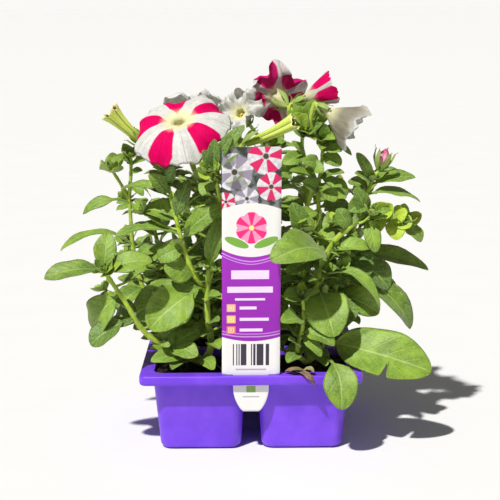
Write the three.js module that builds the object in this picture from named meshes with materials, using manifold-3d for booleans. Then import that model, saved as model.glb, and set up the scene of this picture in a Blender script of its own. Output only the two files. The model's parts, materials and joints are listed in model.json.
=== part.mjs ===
// Young petunias in a four-cell bedding pack: the plastic pack, a plug of potting mix in each cell,
// four leafy plants with blooms and buds, and a plant label pushed through a slot in the front rim.
// Millimetres, +Z up, the front faces -Y. The origin is under the middle of the pack, where it stands.

import * as THREE from 'three'
import Module from 'manifold-3d'

const wasm = await Module()
wasm.setup()
const { Manifold, Mesh: SolidMesh } = wasm

// ---------------------------------------------------------------- driving dimensions

const gap = 0.3                       // between pieces that touch
const stemClearance = 0.5             // round each stem in its potting mix

const pack = {
  width: 147,
  depth: 140,
  height: 54,
  wall: 1.2,
  lipHeight: 6.5,
  cornerRadius: 5,
  sideLedge: 8,
  frontLedge: 8.5,
  web: 7.4,                           // between two cells, at the rim
  draft: 4.5,                         // how far each outer wall comes in at the bottom
  webDraft: 3.2,
  cellRadius: 8,
  bottomRadius: 3.2,
  drainRadius: 4.5,
  cornerSides: 2
}

const soil = { level: 51, bumps: 1.6, rings: [0.88, 0.6, 0.3] }

const label = {
  width: 38,
  top: 204,
  thickness: 0.7,
  fromFront: 4.2,                     // from the front of the lip to the middle of the plate
  tongueWidth: 23.5,
  tipWidth: 10.5,
  tipHeight: 29,
  taperHeight: 45,
  slotClearance: 0.5
}

const cellMiddle = {
  x: (pack.width / 2 - pack.sideLedge + pack.web / 2) / 2,
  y: (pack.depth / 2 - pack.frontLedge + pack.web / 2) / 2
}
const labelY = label.fromFront - pack.depth / 2

const stem = { sides: 4, step: 17 }
const crown = { radius: 3.4, low: 29, top: 54.5 }

const bladeShape = { petioleWidth: 2.2, thickness: 1.2, fold: 0.16, wave: 0.05, petiole: 0.14 }
const bladeStations = [               // cross-sections along a blade, fewer on a narrow one
  { widest: 11.5, at: [0, 0.42, 1] },
  { widest: 16.5, at: [0, 0.26, 0.6, 1] },
  { widest: Infinity, at: [0, 0.19, 0.45, 0.76, 1] }
]

const receptacle = { radius: 2.9, height: 2.2, foot: 5 }
const sepal = { count: 5, length: 13, width: 3.4, spread: 7.5, thickness: 0.9, short: 0.6 }
const rootDepth = 0.7                 // how far behind the stem's middle a blade starts
const growingTip = { radius: 1.7, height: 1.6, foot: 4, thickness: 0.8 }
const corolla = { sides: 15, baseRadius: 2.2, throat: 2.6, skin: 0.7 }

// ---------------------------------------------------------------- solids

const vec = (p) => new THREE.Vector3(...p)
const lerp = THREE.MathUtils.lerp

const goldenAngle = 2.4

// A repeatable number from 0 to 1 for each whole number.
function noise (n) {
  const x = Math.sin(n * 12.9898 + 4.1414) * 43758.5453
  return x - Math.floor(x)
}

function solid (points, faces) {
  let volume = 0
  for (let i = 0; i < faces.length; i += 3) {
    const [a, b, c] = [points[faces[i]], points[faces[i + 1]], points[faces[i + 2]]]
    volume += a.dot(b.clone().cross(c))
  }
  const triVerts = new Uint32Array(volume < 0 ? faces.toReversed() : faces)
  const vertProperties = new Float32Array(points.flatMap((p) => p.toArray()))
  return new Manifold(new SolidMesh({ numProp: 3, vertProperties, triVerts }))
}

// A closed skin over rings of equal count, to a flat end or to a tip.
// A blade's two faces are split into triangles alike.
function loft (rings, { tip = null, isBlade = false } = {}) {
  const sides = rings[0].length
  const points = rings.flat()
  const faces = []
  for (let start = 0; start + sides < points.length; start += sides) {
    for (let i = 0; i < sides; i++) {
      const a = start + i
      const b = start + (i + 1) % sides
      const c = a + sides
      const d = b + sides
      if (isBlade && i >= sides / 2) faces.push(a, b, c, b, d, c)
      else faces.push(a, b, d, a, d, c)
    }
  }
  const last = points.length - sides
  for (let i = 1; i + 1 < sides; i++) {
    faces.push(0, i + 1, i)
    if (!tip) faces.push(last, last + i, last + i + 1)
  }
  if (tip) {
    points.push(tip)
    for (let i = 0; i < sides; i++) faces.push(last + i, last + (i + 1) % sides, last + sides)
  }
  return solid(points, faces)
}

function geometryOf (shape) {
  const { vertProperties, triVerts } = shape.getMesh()
  const geometry = new THREE.BufferGeometry()
  geometry.setAttribute('position', new THREE.BufferAttribute(new Float32Array(vertProperties), 3))
  geometry.setIndex(new THREE.BufferAttribute(new Uint32Array(triVerts), 1))
  geometry.computeVertexNormals()
  return geometry
}

function solidOf (geometry) {
  const position = geometry.getAttribute('position')
  const points = []
  const seen = new Map()
  const faces = []
  for (let i = 0; i < position.count; i++) {
    const p = new THREE.Vector3().fromBufferAttribute(position, i)
    const key = p.toArray().map((v) => v.toFixed(4)).join()
    if (!seen.has(key)) seen.set(key, points.push(p) - 1)
    faces.push(seen.get(key))
  }
  return solid(points, geometry.index ? Array.from(geometry.index.array, (i) => faces[i]) : faces)
}

// ---------------------------------------------------------------- pack and potting mix

function roundedRing (x0, x1, y0, y1, radius, z) {
  const ring = []
  const corners = [[x1, y1], [x0, y1], [x0, y0], [x1, y0]]
  corners.forEach(([x, y], corner) => {
    const cx = x - Math.sign(x - (x0 + x1) / 2) * radius
    const cy = y - Math.sign(y - (y0 + y1) / 2) * radius
    for (let i = 0; i <= pack.cornerSides; i++) {
      const angle = (corner + i / pack.cornerSides) * Math.PI / 2
      ring.push(new THREE.Vector3(cx + radius * Math.cos(angle), cy + radius * Math.sin(angle), z))
    }
  })
  return ring
}

// One level of a cell: the outer wall's line at height z, moved inward by inset.
function cellRing (signX, signY, z, inset) {
  const rise = z / pack.height
  const near = lerp(pack.web / 2 + pack.webDraft, pack.web / 2, rise) + inset
  const farX = lerp(-pack.draft, 0, rise) + pack.width / 2 - pack.sideLedge - inset
  const farY = lerp(-pack.draft, 0, rise) + pack.depth / 2 - pack.frontLedge - inset
  const xs = [near * signX, farX * signX].sort((a, b) => a - b)
  const ys = [near * signY, farY * signY].sort((a, b) => a - b)
  return roundedRing(...xs, ...ys, pack.cellRadius - inset, z)
}

// The cell's tub, rounded where its walls meet its floor.
function cellTub (signX, signY, inset, low, high) {
  const round = pack.bottomRadius
  return loft([
    cellRing(signX, signY, low, inset + round),
    cellRing(signX, signY, low + round * 0.3, inset + round * 0.3),
    cellRing(signX, signY, low + round, inset),
    cellRing(signX, signY, high, inset)
  ])
}

const quadrants = [
  { name: 'front_left', signX: -1, signY: -1 },
  { name: 'front_right', signX: 1, signY: -1 },
  { name: 'back_left', signX: -1, signY: 1 },
  { name: 'back_right', signX: 1, signY: 1 }
]

function rimRing (inset, z) {
  const x = pack.width / 2 - inset
  const y = pack.depth / 2 - inset
  return roundedRing(-x, x, -y, y, pack.cornerRadius - inset, z)
}

function cellPack () {
  const lipLow = pack.height - pack.lipHeight
  const rim = loft([
    rimRing(1.6, lipLow),
    rimRing(0.4, lipLow + 1.2),
    rimRing(0, lipLow + 3),
    rimRing(0, pack.height)
  ])
  const under = loft([rimRing(pack.wall + 0.8, lipLow - 1), rimRing(pack.wall, pack.height - pack.wall)])
  const tubs = quadrants.map((q) => cellTub(q.signX, q.signY, 0, 0, pack.height - pack.wall / 2))
  const hollows = quadrants.map((q) => cellTub(q.signX, q.signY, pack.wall, pack.wall, pack.height + 1))
  const drains = quadrants.map((q) => {
    const drain = new THREE.CylinderGeometry(pack.drainRadius, pack.drainRadius, pack.wall * 6, 10)
    return solidOf(drain.rotateX(Math.PI / 2).translate(q.signX * cellMiddle.x, q.signY * cellMiddle.y, 0))
  })
  const slotWidth = label.tongueWidth + 2 * label.slotClearance
  const slotDepth = label.thickness + 2 * label.slotClearance
  const slot = new THREE.BoxGeometry(slotWidth, slotDepth, pack.wall * 4).translate(0, labelY, pack.height)
  const body = Manifold.union([rim.subtract(under), ...tubs])
  return body.subtract(Manifold.union([...hollows, ...drains, solidOf(slot)]))
}

// A plug of potting mix with a crumbled top and a plain hole for the plant's crown.
function pottingMix ({ signX, signY }, seed) {
  const inset = pack.wall + gap
  const round = pack.bottomRadius
  const low = inset + gap
  const rings = [
    cellRing(signX, signY, low, inset + round),
    cellRing(signX, signY, low + round, inset),
    cellRing(signX, signY, soil.level - 1, inset)
  ]
  const middle = new THREE.Vector3(signX * cellMiddle.x, signY * cellMiddle.y, soil.level)
  soil.rings.forEach((share, level) => {
    rings.push(rings[2].map((p, i) => {
      const bump = (noise(seed + level * 31 + i) - 0.5) * soil.bumps
      return new THREE.Vector3(lerp(middle.x, p.x, share), lerp(middle.y, p.y, share), soil.level + bump)
    }))
  })
  return loft(rings)
}

// ---------------------------------------------------------------- label

function plantLabel () {
  const half = label.width / 2
  const tongue = label.tongueWidth / 2
  const foot = pack.height + gap
  const outline = new THREE.Shape()
  outline.moveTo(-half, foot)
  outline.lineTo(-tongue, foot)
  outline.lineTo(-tongue, label.taperHeight)
  outline.quadraticCurveTo(-tongue, label.tipHeight + 6, -label.tipWidth / 2, label.tipHeight)
  outline.lineTo(label.tipWidth / 2, label.tipHeight)
  outline.quadraticCurveTo(tongue, label.tipHeight + 6, tongue, label.taperHeight)
  outline.lineTo(tongue, foot)
  outline.lineTo(half, foot)
  outline.lineTo(half, label.top)
  outline.lineTo(-half, label.top)
  outline.closePath()
  const settings = { depth: label.thickness, bevelEnabled: false, curveSegments: 6 }
  const plate = new THREE.ExtrudeGeometry(outline, settings)
  return plate.translate(0, 0, -label.thickness / 2).rotateX(Math.PI / 2).translate(0, labelY, 0)
}

// ---------------------------------------------------------------- stems and blades

function spline (points) {
  return new THREE.CatmullRomCurve3(points.map(vec), false, 'catmullrom', 0.5)
}

function stemSolid (points, footRadius, tipRadius, grow = 0) {
  const curve = spline(points)
  const steps = Math.max(2, Math.round(curve.getLength() / stem.step))
  const frames = curve.computeFrenetFrames(steps, false)
  const rings = []
  for (let step = 0; step <= steps; step++) {
    const centre = curve.getPointAt(step / steps)
    const radius = lerp(footRadius, tipRadius, step / steps) + grow
    rings.push(Array.from({ length: stem.sides }, (_, i) => {
      const angle = i / stem.sides * 2 * Math.PI
      return centre.clone()
        .addScaledVector(frames.normals[step], radius * Math.cos(angle))
        .addScaledVector(frames.binormals[step], radius * Math.sin(angle))
    }))
  }
  return loft(rings)
}

// Half of the blade's width at a place along it: a narrow petiole, then a blunt oval.
function bladeHalfWidth (blade, along) {
  const petiole = blade.petiole ?? bladeShape.petiole
  const v = THREE.MathUtils.clamp((along - petiole) / (1 - petiole), 0, 1)
  const oval = blade.width / 2 * Math.sin(Math.PI * v ** 0.95) ** 0.55
  const stalk = Math.min(bladeShape.petioleWidth, blade.width * 0.6) / 2 * (1 - 0.85 * v)
  return Math.max(oval, stalk)
}

// The blade's midrib at a place along it, with the directions across and out of the blade.
function bladeFrame (blade, along) {
  const { root, tip, face } = blade
  const chord = tip.clone().sub(root)
  const length = chord.length()
  const direction = chord.clone().normalize()
  const lift = face.clone().addScaledVector(direction, -face.dot(direction)).normalize()
  const raised = root.clone().lerp(tip, 0.5).addScaledVector(lift, 2 * blade.arch * length)
  const via = blade.via ? vec(blade.via) : raised
  const curve = new THREE.QuadraticBezierCurve3(root, via, tip)
  const tangent = curve.getTangent(along)
  const side = tangent.clone().cross(face).normalize()
  const normal = side.clone().cross(tangent).normalize()
  return { centre: curve.getPoint(along), side, normal }
}

function bladeRing (blade, along, keep) {
  const { centre, side, normal } = bladeFrame(blade, along)
  const half = bladeHalfWidth(blade, along)
  const thickness = Math.min(bladeShape.thickness, blade.width * 0.3) * (1 - 0.5 * along) / 2
  const edge = (across) => {
    const ripple = Math.sin(7 * along + blade.phase + across) * Math.sin(Math.PI * along)
    const wave = bladeShape.wave * blade.width * ripple
    return keep(centre.clone()
      .addScaledVector(side, across * half)
      .addScaledVector(normal, bladeShape.fold * half + wave))
  }
  const middle = keep(centre)
  return [
    edge(-1),
    middle.clone().addScaledVector(normal, thickness),
    edge(1),
    middle.clone().addScaledVector(normal, -thickness)
  ]
}

function bladeSolid (blade, keep = (p) => p) {
  const { at } = bladeStations.find(({ widest }) => blade.width < widest)
  const rings = at.slice(0, -1).map((along) => bladeRing(blade, along, keep))
  return loft(rings, { tip: keep(blade.tip), isBlade: true })
}

// ---------------------------------------------------------------- plants

// A stem is written [points, radius at its foot, radius at its tip].
// A leaf is written [root, tip, width, { face, arch, via, petiole }], and grows from the stem nearest
// its root. A growing tip is written [place, direction, count, length, width of its small leaves].

const towardsViewer = [0, -0.85, 0.5]
const flat = [0, -0.25, 0.97]

const plants = {
  front_left: {
    crown: [-32, -34],
    face: [0, -0.6, 0.8],
    stems: [
      [[[-32, -34, 53], [-27, -34, 65], [-29, -35, 85], [-29, -35, 104], [-27, -34, 121], [-24, -32, 138],
        [-20, -34, 154], [-20, -44, 170], [-22, -54, 183], [-23, -59, 193]], 2.6, 1.3],
      [[[-29, -35, 102], [-35, -36, 111], [-40, -38, 121], [-45, -38, 137], [-49, -37, 154], [-52, -36, 167],
        [-54, -36, 179], [-54, -33, 187]], 2, 1.2],
      [[[-32, -34, 53], [-40, -37, 57], [-49, -42, 63], [-58, -48, 70], [-67, -53, 77], [-74, -56, 86],
        [-80, -58, 98], [-87, -59, 110], [-95, -60, 123]], 2.3, 1.5],
      [[[-33, -33, 53], [-44, -22, 57], [-56, -12, 67], [-70, -8, 89], [-78, -6, 111], [-81, -6, 129],
        [-82, -6, 146], [-83, -6, 161], [-88, -6, 172], [-94, -6, 182]], 2.1, 1.1],
      [[[-83, -6, 159], [-82, -6, 171], [-81, -6, 181], [-81, -6, 193]], 1.5, 1.2]
    ],
    leaves: [
      [[-95, -60, 123], [-133, -70, 121], 16],
      [[-95, -60, 123], [-93, -52, 147], 15, { face: towardsViewer }],
      [[-94, -60, 122], [-63, -63, 131], 18],
      [[-77, -57, 90], [-105, -66, 75], 20, { petiole: 0.3 }],
      [[-86, -58, 108], [-107, -50, 79], 24, { face: [-0.3, -0.8, 0.5] }],
      [[-32, -38, 57], [-66, -60, 63], 15],
      [[-54, -46, 67], [-35, -61, 66], 16],
      [[-52, -44, 67], [-34, -46, 80], 15],
      [[-60, -49, 72], [-46, -48, 84], 13],
      [[-31, -36, 106], [-68, -58, 84], 31, { petiole: 0.25, face: [-0.1, -0.8, 0.55] }],
      [[-30, -35, 107], [-81, -44, 89], 28, { arch: 0.15, face: towardsViewer }],
      [[-38, -38, 115], [-57, -47, 123], 19, { face: towardsViewer }],
      [[-46, -38, 140], [-17, -50, 166], 14, { face: towardsViewer }],
      [[-49, -37, 155], [-40, -40, 180], 11, { face: towardsViewer }],
      [[-27, -34, 119], [-20, -41, 155], 12, { face: towardsViewer }],
      [[-29, -35, 78], [-21, -52, 87], 10],
      [[-27, -34, 65], [-21, -54, 70], 11],
      [[-28, -35, 95], [-21, -48, 105], 10],
      [[-47, -38, 142], [-90, -42, 144], 18, { face: flat }],
      [[-49, -37, 151], [-71, -30, 160], 18],
      [[-81, -6, 131], [-131, -22, 132], 12, { face: flat, arch: 0.2 }],
      [[-83, -6, 160], [-116, -12, 154], 10, { arch: 0.2, petiole: 0.3 }],
      [[-52, -36, 167], [-86, -33, 174], 12, { face: flat }],
      [[-54, -36, 179], [-69, -42, 175], 8],
      [[-54, -36, 177], [-44, -48, 175], 8],
      [[-54, -34, 183], [-65, -42, 193], 7, { face: towardsViewer }],
      [[-82, -6, 171], [-72, -14, 166], 7],
      [[-81, -6, 179], [-73, -10, 183], 6],
      [[-29, -34, 93], [-50, -12, 107], 18],
      [[-24, -32, 137], [-44, -10, 145], 16],
      [[-20, -33, 152], [-5, -14, 161], 14],
      [[-28, -34, 113], [-6, -20, 121], 14],
      [[-74, -8, 99], [-92, -20, 87], 15],
      [[-60, -12, 73], [-80, -28, 77], 15],
      [[-80, -6, 121], [-62, -18, 129], 14]
    ],
    tips: [
      [[-95, -60, 122], [-0.1, -0.6, 0.8], 6, 14, 9],
      [[-25, -60, 189], [-0.05, -0.9, 0.4], 5, 10, 8],
      [[-94, -6, 180], [0, -0.2, 1], 7, 15, 9],
      [[-81, -6, 190], [0, -0.3, 1], 4, 10, 7]
    ]
  },
  front_right: {
    crown: [38, -34],
    face: [0, -0.6, 0.8],
    stems: [
      [[[38, -34, 53], [41, -32, 65], [43, -31, 84], [45, -30, 101], [48, -30, 115], [52, -34, 129],
        [58, -36, 139], [66, -35, 146], [73, -30, 151], [79, -25, 152]], 2.7, 1.7],
      [[[79, -25, 151], [79, -24, 159], [79, -22, 166], [82, -21, 174], [85, -20, 181]], 1.7, 1.3],
      [[[43, -31, 83], [44, -23, 101], [46, -18, 120], [47, -16, 137], [47, -12, 169], [49, -10, 183],
        [50, -10, 196], [51, -10, 205]], 2, 1.3],
      [[[41, -32, 65], [37, -24, 94], [36, -18, 121], [37, -16, 135], [38, -14, 153], [41, -13, 163],
        [42, -12, 173], [39, -10, 185], [36, -8, 198], [37, -8, 213]], 2, 1.3],
      [[[38, -34, 53], [48, -26, 61], [54, -20, 77], [58, -18, 100], [60, -18, 113], [65, -17, 124],
        [70, -12, 137], [74, -8, 149]], 2.6, 1.5],
      [[[38, -35, 53], [33, -48, 60], [31, -52, 69], [34, -54, 80], [35, -54, 93], [34, -54, 104]], 2, 1.1],
      [[[78, -25, 151], [88, -20, 153], [98, -18, 149], [105, -18, 144]], 1.5, 1.1]
    ],
    leaves: [
      [[51, -32, 128], [13, -78, 133], 29, { via: [41, -71, 147], face: [0, -0.7, 0.7] }],
      [[44, -31, 103], [55, -62, 78], 31, { face: towardsViewer, petiole: 0.1, arch: 0.16 }],
      [[44, -31, 68], [120, -57, 53], 36, { face: [0, -0.8, 0.6], petiole: 0.22, arch: 0.06 }],
      [[41, -37, 59], [58, -87, 36], 23, { via: [62, -77, 72], petiole: 0.47 }],
      [[66, -17, 113], [116, -27, 75], 20, { arch: 0.14 }],
      [[64, -17, 123], [96, -30, 104], 24],
      [[48, -31, 110], [89, -54, 97], 11, { face: flat, arch: 0.28 }],
      [[53, -31, 130], [81, -37, 133], 12],
      [[73, -10, 147], [49, -25, 146], 18],
      [[78, -25, 152], [70, -33, 173], 11, { face: towardsViewer }],
      [[49, -10, 176], [68, -15, 166], 12],
      [[48, -11, 173], [58, -23, 162], 12, { face: towardsViewer }],
      [[79, -22, 166], [116, -23, 163], 13, { face: flat }],
      [[80, -24, 153], [94, -30, 157], 13, { face: towardsViewer }],
      [[103, -18, 145], [118, -20, 134], 13],
      [[79, -25, 151], [84, -40, 130], 12, { face: towardsViewer }],
      [[83, -21, 175], [72, -22, 195], 8, { face: towardsViewer }],
      [[82, -21, 173], [71, -28, 183], 9],
      [[84, -20, 177], [101, -23, 183], 8],
      [[82, -21, 172], [112, -20, 178], 11],
      [[80, -22, 169], [67, -14, 175], 10],
      [[48, -11, 173], [27, -21, 183], 9],
      [[48, -11, 175], [64, -18, 181], 8],
      [[37, -16, 136], [29, -27, 162], 14, { face: towardsViewer }],
      [[35, -54, 87], [20, -68, 90], 15],
      [[34, -54, 102], [22, -62, 105], 14],
      [[32, -52, 67], [25, -63, 77], 9],
      [[34, -53, 77], [47, -67, 67], 9],
      [[34, -54, 79], [56, -64, 74], 13],
      [[35, -54, 101], [44, -64, 111], 9],
      [[51, -10, 201], [70, -15, 193], 6],
      [[36, -8, 193], [26, -13, 189], 7],
      [[36, -8, 191], [29, -11, 202], 7],
      [[36, -8, 189], [24, -16, 181], 8],
      [[50, -10, 193], [62, -18, 199], 8],
      [[47, -14, 153], [30, -26, 149], 12],
      [[46, -18, 121], [24, -30, 115], 14],
      [[45, -30, 99], [22, -34, 95], 15],
      [[56, -19, 89], [84, -10, 95], 17],
      [[59, -18, 107], [82, -8, 125], 16],
      [[47, -14, 155], [70, -6, 153], 14],
      [[38, -14, 153], [20, -8, 161], 12]
    ],
    tips: [
      [[84, -20, 175], [-0.2, -0.2, 1], 5, 11, 7],
      [[51, -10, 203], [-0.1, -0.5, 0.8], 6, 11, 8],
      [[37, -8, 211], [0.2, -0.7, 0.7], 7, 14, 9],
      [[74, -8, 148], [0.2, 0, 1], 4, 14, 8],
      [[34, -54, 103], [0, -0.2, 1], 3, 10, 6],
      [[104, -18, 145], [0.4, -0.4, 0.8], 6, 13, 9]
    ]
  },
  back_left: {
    crown: [-34, 34],
    face: [0, 0.2, 1],
    stems: [
      [[[-34, 34, 53], [-46, 32, 73], [-60, 30, 103], [-68, 30, 131], [-70, 32, 155]], 2.4, 1.2],
      [[[-34, 34, 53], [-36, 46, 79], [-38, 54, 113], [-38, 58, 148], [-40, 60, 175]], 2.4, 1.2],
      [[[-34, 34, 53], [-24, 24, 81], [-18, 20, 115], [-16, 20, 153], [-20, 22, 185], [-26, 22, 197]],
        2.5, 1.3],
      [[[-34, 35, 53], [-50, 48, 69], [-66, 60, 87], [-76, 66, 107]], 2, 1.2],
      [[[-34, 34, 53], [-22, 50, 71], [-14, 62, 91], [-12, 66, 115]], 2, 1.2]
    ],
    leaves: [
      [[-70, 63, 95], [-58, 86, 81], 16, { face: [0, 0.6, 0.8] }]
    ],
    tips: [
      [[-70, 32, 154], [0, 0, 1], 5, 13, 7],
      [[-76, 66, 106], [-0.3, 0.3, 0.9], 5, 13, 7],
      [[-12, 66, 114], [0, 0.2, 1], 4, 12, 7]
    ],
    rule: { first: 0.1, spacing: 23, longest: 42, shortest: 22, reach: 84, seed: 11 }
  },
  back_right: {
    crown: [34, 34],
    face: [0, 0.2, 1],
    stems: [
      [[[34, 34, 53], [48, 32, 75], [62, 30, 103], [72, 28, 133], [78, 28, 157]], 2.4, 1.2],
      [[[34, 34, 53], [38, 46, 79], [42, 54, 113], [42, 58, 148], [40, 60, 171]], 2.4, 1.2],
      [[[34, 34, 53], [24, 26, 83], [18, 24, 119], [14, 26, 157], [12, 28, 187], [10, 30, 199]], 2.5, 1.3],
      [[[34, 35, 53], [52, 46, 69], [70, 54, 85], [84, 60, 103]], 2, 1.2],
      [[[34, 34, 53], [24, 50, 71], [18, 62, 93], [18, 66, 117]], 2, 1.2]
    ],
    leaves: [
      [[76, 57, 93], [112, 70, 76], 18, { arch: 0.15 }],
      [[68, 29, 117], [131, 24, 109], 15, { arch: 0.06, face: [0, -0.6, 0.8] }],
      [[40, 56, 103], [50, 86, 95], 16, { face: [0, 0.6, 0.8] }]
    ],
    tips: [
      [[78, 28, 156], [0.1, 0, 1], 5, 13, 7],
      [[40, 60, 170], [0, 0.1, 1], 5, 12, 7],
      [[84, 60, 102], [0.3, 0.3, 0.9], 5, 13, 7],
      [[18, 66, 116], [0, 0.2, 1], 4, 12, 7]
    ],
    rule: { first: 0.1, spacing: 23, longest: 42, shortest: 22, reach: 96, seed: 47 }
  }
}

// Each bloom stands on a pedicel of its plant. Its base is the top of the receptacle. One seen from
// the side has petals that reach forward, and one that hangs over has petals that sag.
const blooms = [
  {
    name: 'bloom_star',
    plant: 'front_left',
    pedicel: [[-20, -36, 157], [-28, -30, 167], [-36, -24, 181]],
    base: [-41, -27, 196],
    axis: [-0.18, -0.5, 0.85],
    tube: 26,
    radius: 32,
    droop: 11,
    sag: 6,
    spin: -25,
    color: 0xf01a6a
  },
  {
    name: 'bloom_turned',
    plant: 'front_right',
    pedicel: [[37, -8, 210], [34, -6, 218]],
    base: [26, 3, 224.5],
    axis: [-0.38, 0.88, 0.3],
    tube: 17,
    radius: 21.5,
    droop: 5,
    spin: 32,
    color: 0xc0184f
  },
  {
    name: 'bloom_half_open',
    plant: 'front_right',
    pedicel: [[37, -8, 209], [30, -12, 214], [27, -13, 222]],
    base: [32, -12, 228],
    axis: [0.92, 0.03, 0.36],
    tube: 8,
    radius: 11,
    forward: 16,
    droop: 2,
    spin: 40,
    color: 0xe91e63
  },
  {
    name: 'bloom_white',
    plant: 'front_right',
    pedicel: [[50, -10, 199], [45, -15, 206], [41, -21, 216]],
    base: [47, -23, 225.5],
    axis: [0.85, -0.15, -0.5],
    tube: 8,
    radius: 15.5,
    forward: 21,
    droop: 6,
    spin: 10,
    color: 0xe9e6da
  },
  {
    name: 'bloom_back_left',
    plant: 'back_left',
    pedicel: [[-26, 22, 195], [-30, 22, 203]],
    base: [-35.5, 19, 206.5],
    axis: [-0.1, 0.4, 0.9],
    tube: 18,
    radius: 23,
    droop: 6,
    spin: 26,
    color: 0xe6e2d6
  },
  {
    name: 'bloom_back_middle',
    plant: 'back_left',
    pedicel: [[-40, 60, 173], [-42, 60, 181]],
    base: [-46, 61, 183],
    axis: [-0.35, 0.5, 0.8],
    tube: 20,
    radius: 24,
    droop: 9,
    spin: 30,
    color: 0xf01a6a
  },
  {
    name: 'bloom_pale',
    plant: 'back_right',
    pedicel: [[10, 30, 197], [3, 26, 206]],
    base: [-1, 13, 212.5],
    axis: [-0.35, -0.75, 0.5],
    tube: 14,
    radius: 16.5,
    droop: 0,
    spin: -20,
    color: 0xe6e2d6
  }
]

// Young trumpets, still furrowed, and closed buds: rods that widen to their mouth or swell and close.
const rods = [
  {
    name: 'trumpet_left',
    plant: 'front_left',
    pedicel: [[-54, -34, 185], [-62, -24, 193]],
    base: [-70, -13, 201],
    end: [-93, -16, 223],
    radii: [2.1, 2.9, 3.6, 4.6, 6.2],
    color: 0xc9cf5a
  },
  {
    name: 'trumpet_right',
    plant: 'front_left',
    pedicel: [[-22, -53, 182], [-14, -53, 185], [-8, -46, 190], [-5, -41, 196]],
    base: [-2, -38.5, 203],
    end: [29, -44, 218],
    radii: [2.1, 2.8, 3.3, 3.9, 4.8],
    color: 0xc9cf5a
  },
  {
    name: 'bud_pink',
    plant: 'front_right',
    pedicel: [[85, -20, 179], [87, -20, 182]],
    base: [88, -20, 185],
    end: [92, -21, 197],
    radii: [2.1, 3.4, 3.8, 2.8, 1],
    color: 0xd9679b
  },
  {
    name: 'bud_back',
    plant: 'back_left',
    pedicel: [[-12, 66, 113], [-9, 67, 121]],
    base: [-7, 69, 129],
    end: [-4, 73, 148],
    radii: [2.1, 2.6, 3.2, 3.6, 1.4],
    color: 0xd9679b
  }
]

const colors = {
  pack: 0x8248f0,
  mix: 0x1f1712,
  leaf: 0x6f9f3f,
  label: 0xb026cc,
  withered: 0x9a7b5c
}

// A flower's own axes: out along its axis, and two across it.
function flowerAxes (axis) {
  const out = vec(axis).normalize()
  const down = new THREE.Vector3(0, 0, -1).addScaledVector(out, out.z).normalize()
  return { out, down, side: down.clone().cross(out) }
}

function flowerPoint (base, axes, radius, turn, rise) {
  return base.clone()
    .addScaledVector(axes.out, rise)
    .addScaledVector(axes.down, radius * Math.cos(turn))
    .addScaledVector(axes.side, radius * Math.sin(turn))
}

function flowerRing (base, axes, radius, rise, sides) {
  const turns = Array.from({ length: sides }, (_, i) => i / sides * 2 * Math.PI)
  return turns.map((turn) => flowerPoint(base, axes, radius, turn, rise))
}

// A small core with a blade grown out of each of its sides: a calyx, or the young leaves of a shoot.
// Each blade is { tip, width, bulge }, and bulge lifts its middle away from the straight line.
function spray (root, axes, { radius, height, foot, thickness }, blades) {
  const sides = blades.length
  const points = [
    ...flowerRing(root, axes, radius * 0.5, -foot, sides),
    ...flowerRing(root, axes, radius, -height, sides),
    ...flowerRing(root, axes, radius, 0, sides)
  ]
  const faces = []
  for (let i = 1; i + 1 < sides; i++) faces.push(0, i + 1, i, 2 * sides, 2 * sides + i, 2 * sides + i + 1)
  blades.forEach(({ tip, width, bulge }, i) => {
    const next = (i + 1) % sides
    faces.push(i, next, sides + next, i, sides + next, sides + i)
    const start = [sides + i, sides + next, 2 * sides + next, 2 * sides + i]
    const side = points[start[1]].clone().sub(points[start[0]]).normalize()
    const from = points[start[0]].clone().add(points[start[2]]).multiplyScalar(0.5)
    const normal = side.clone().cross(tip.clone().sub(from)).normalize()
    const middle = from.clone().lerp(tip, 0.5).addScaledVector(normal, -bulge)
    const ring = [[-1, -1], [1, -1], [1, 1], [-1, 1]].map(([across, up]) => middle.clone()
      .addScaledVector(side, across * width / 2)
      .addScaledVector(normal, up * thickness / 2))
    const first = points.push(...ring, tip) - 5
    for (let k = 0; k < 4; k++) {
      const after = (k + 1) % 4
      faces.push(start[k], start[after], first + after, start[k], first + after, first + k)
      faces.push(first + k, first + after, first + 4)
    }
  })
  return solid(points, faces)
}

// The green parts that carry a flower: its pedicel, and its calyx with the sepals round the tube.
function flowerSeat ({ pedicel, base, axis, forward }, seed) {
  const axes = flowerAxes(axis)
  const foot = vec(base).addScaledVector(axes.out, -gap)
  const start = foot.clone().addScaledVector(axes.out, 1 - receptacle.foot)
  const size = forward ? sepal.short : 1
  const sepals = Array.from({ length: sepal.count }, (_, i) => {
    const turn = (i + 0.5 + 0.3 * noise(seed + i)) / sepal.count * 2 * Math.PI
    const tip = flowerPoint(foot, axes, sepal.spread * size, turn, sepal.length * size)
    return { tip, width: sepal.width, bulge: 1.6 }
  })
  return [
    stemSolid([...pedicel, start.toArray()], 1.4, 1.2),
    spray(foot, axes, { ...receptacle, thickness: sepal.thickness }, sepals)
  ]
}

// Stays on the plant's own side of the pack's middle planes, and above the rim where it crosses it.
function keeper ({ signX, signY }) {
  const margin = 1.6
  return (p) => {
    const q = p.clone()
    if (q.x * signX < margin) q.x = signX * (margin - (margin - q.x * signX) * 0.02)
    if (q.y * signY < margin) q.y = signY * (margin - (margin - q.y * signY) * 0.02)
    const overPack = Math.abs(q.x) < pack.width / 2 + 1.5 && Math.abs(q.y) < pack.depth / 2 + 1.5
    if (overPack && q.z < pack.height + 1.5) q.z = pack.height + 1.5
    return q
  }
}

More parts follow.
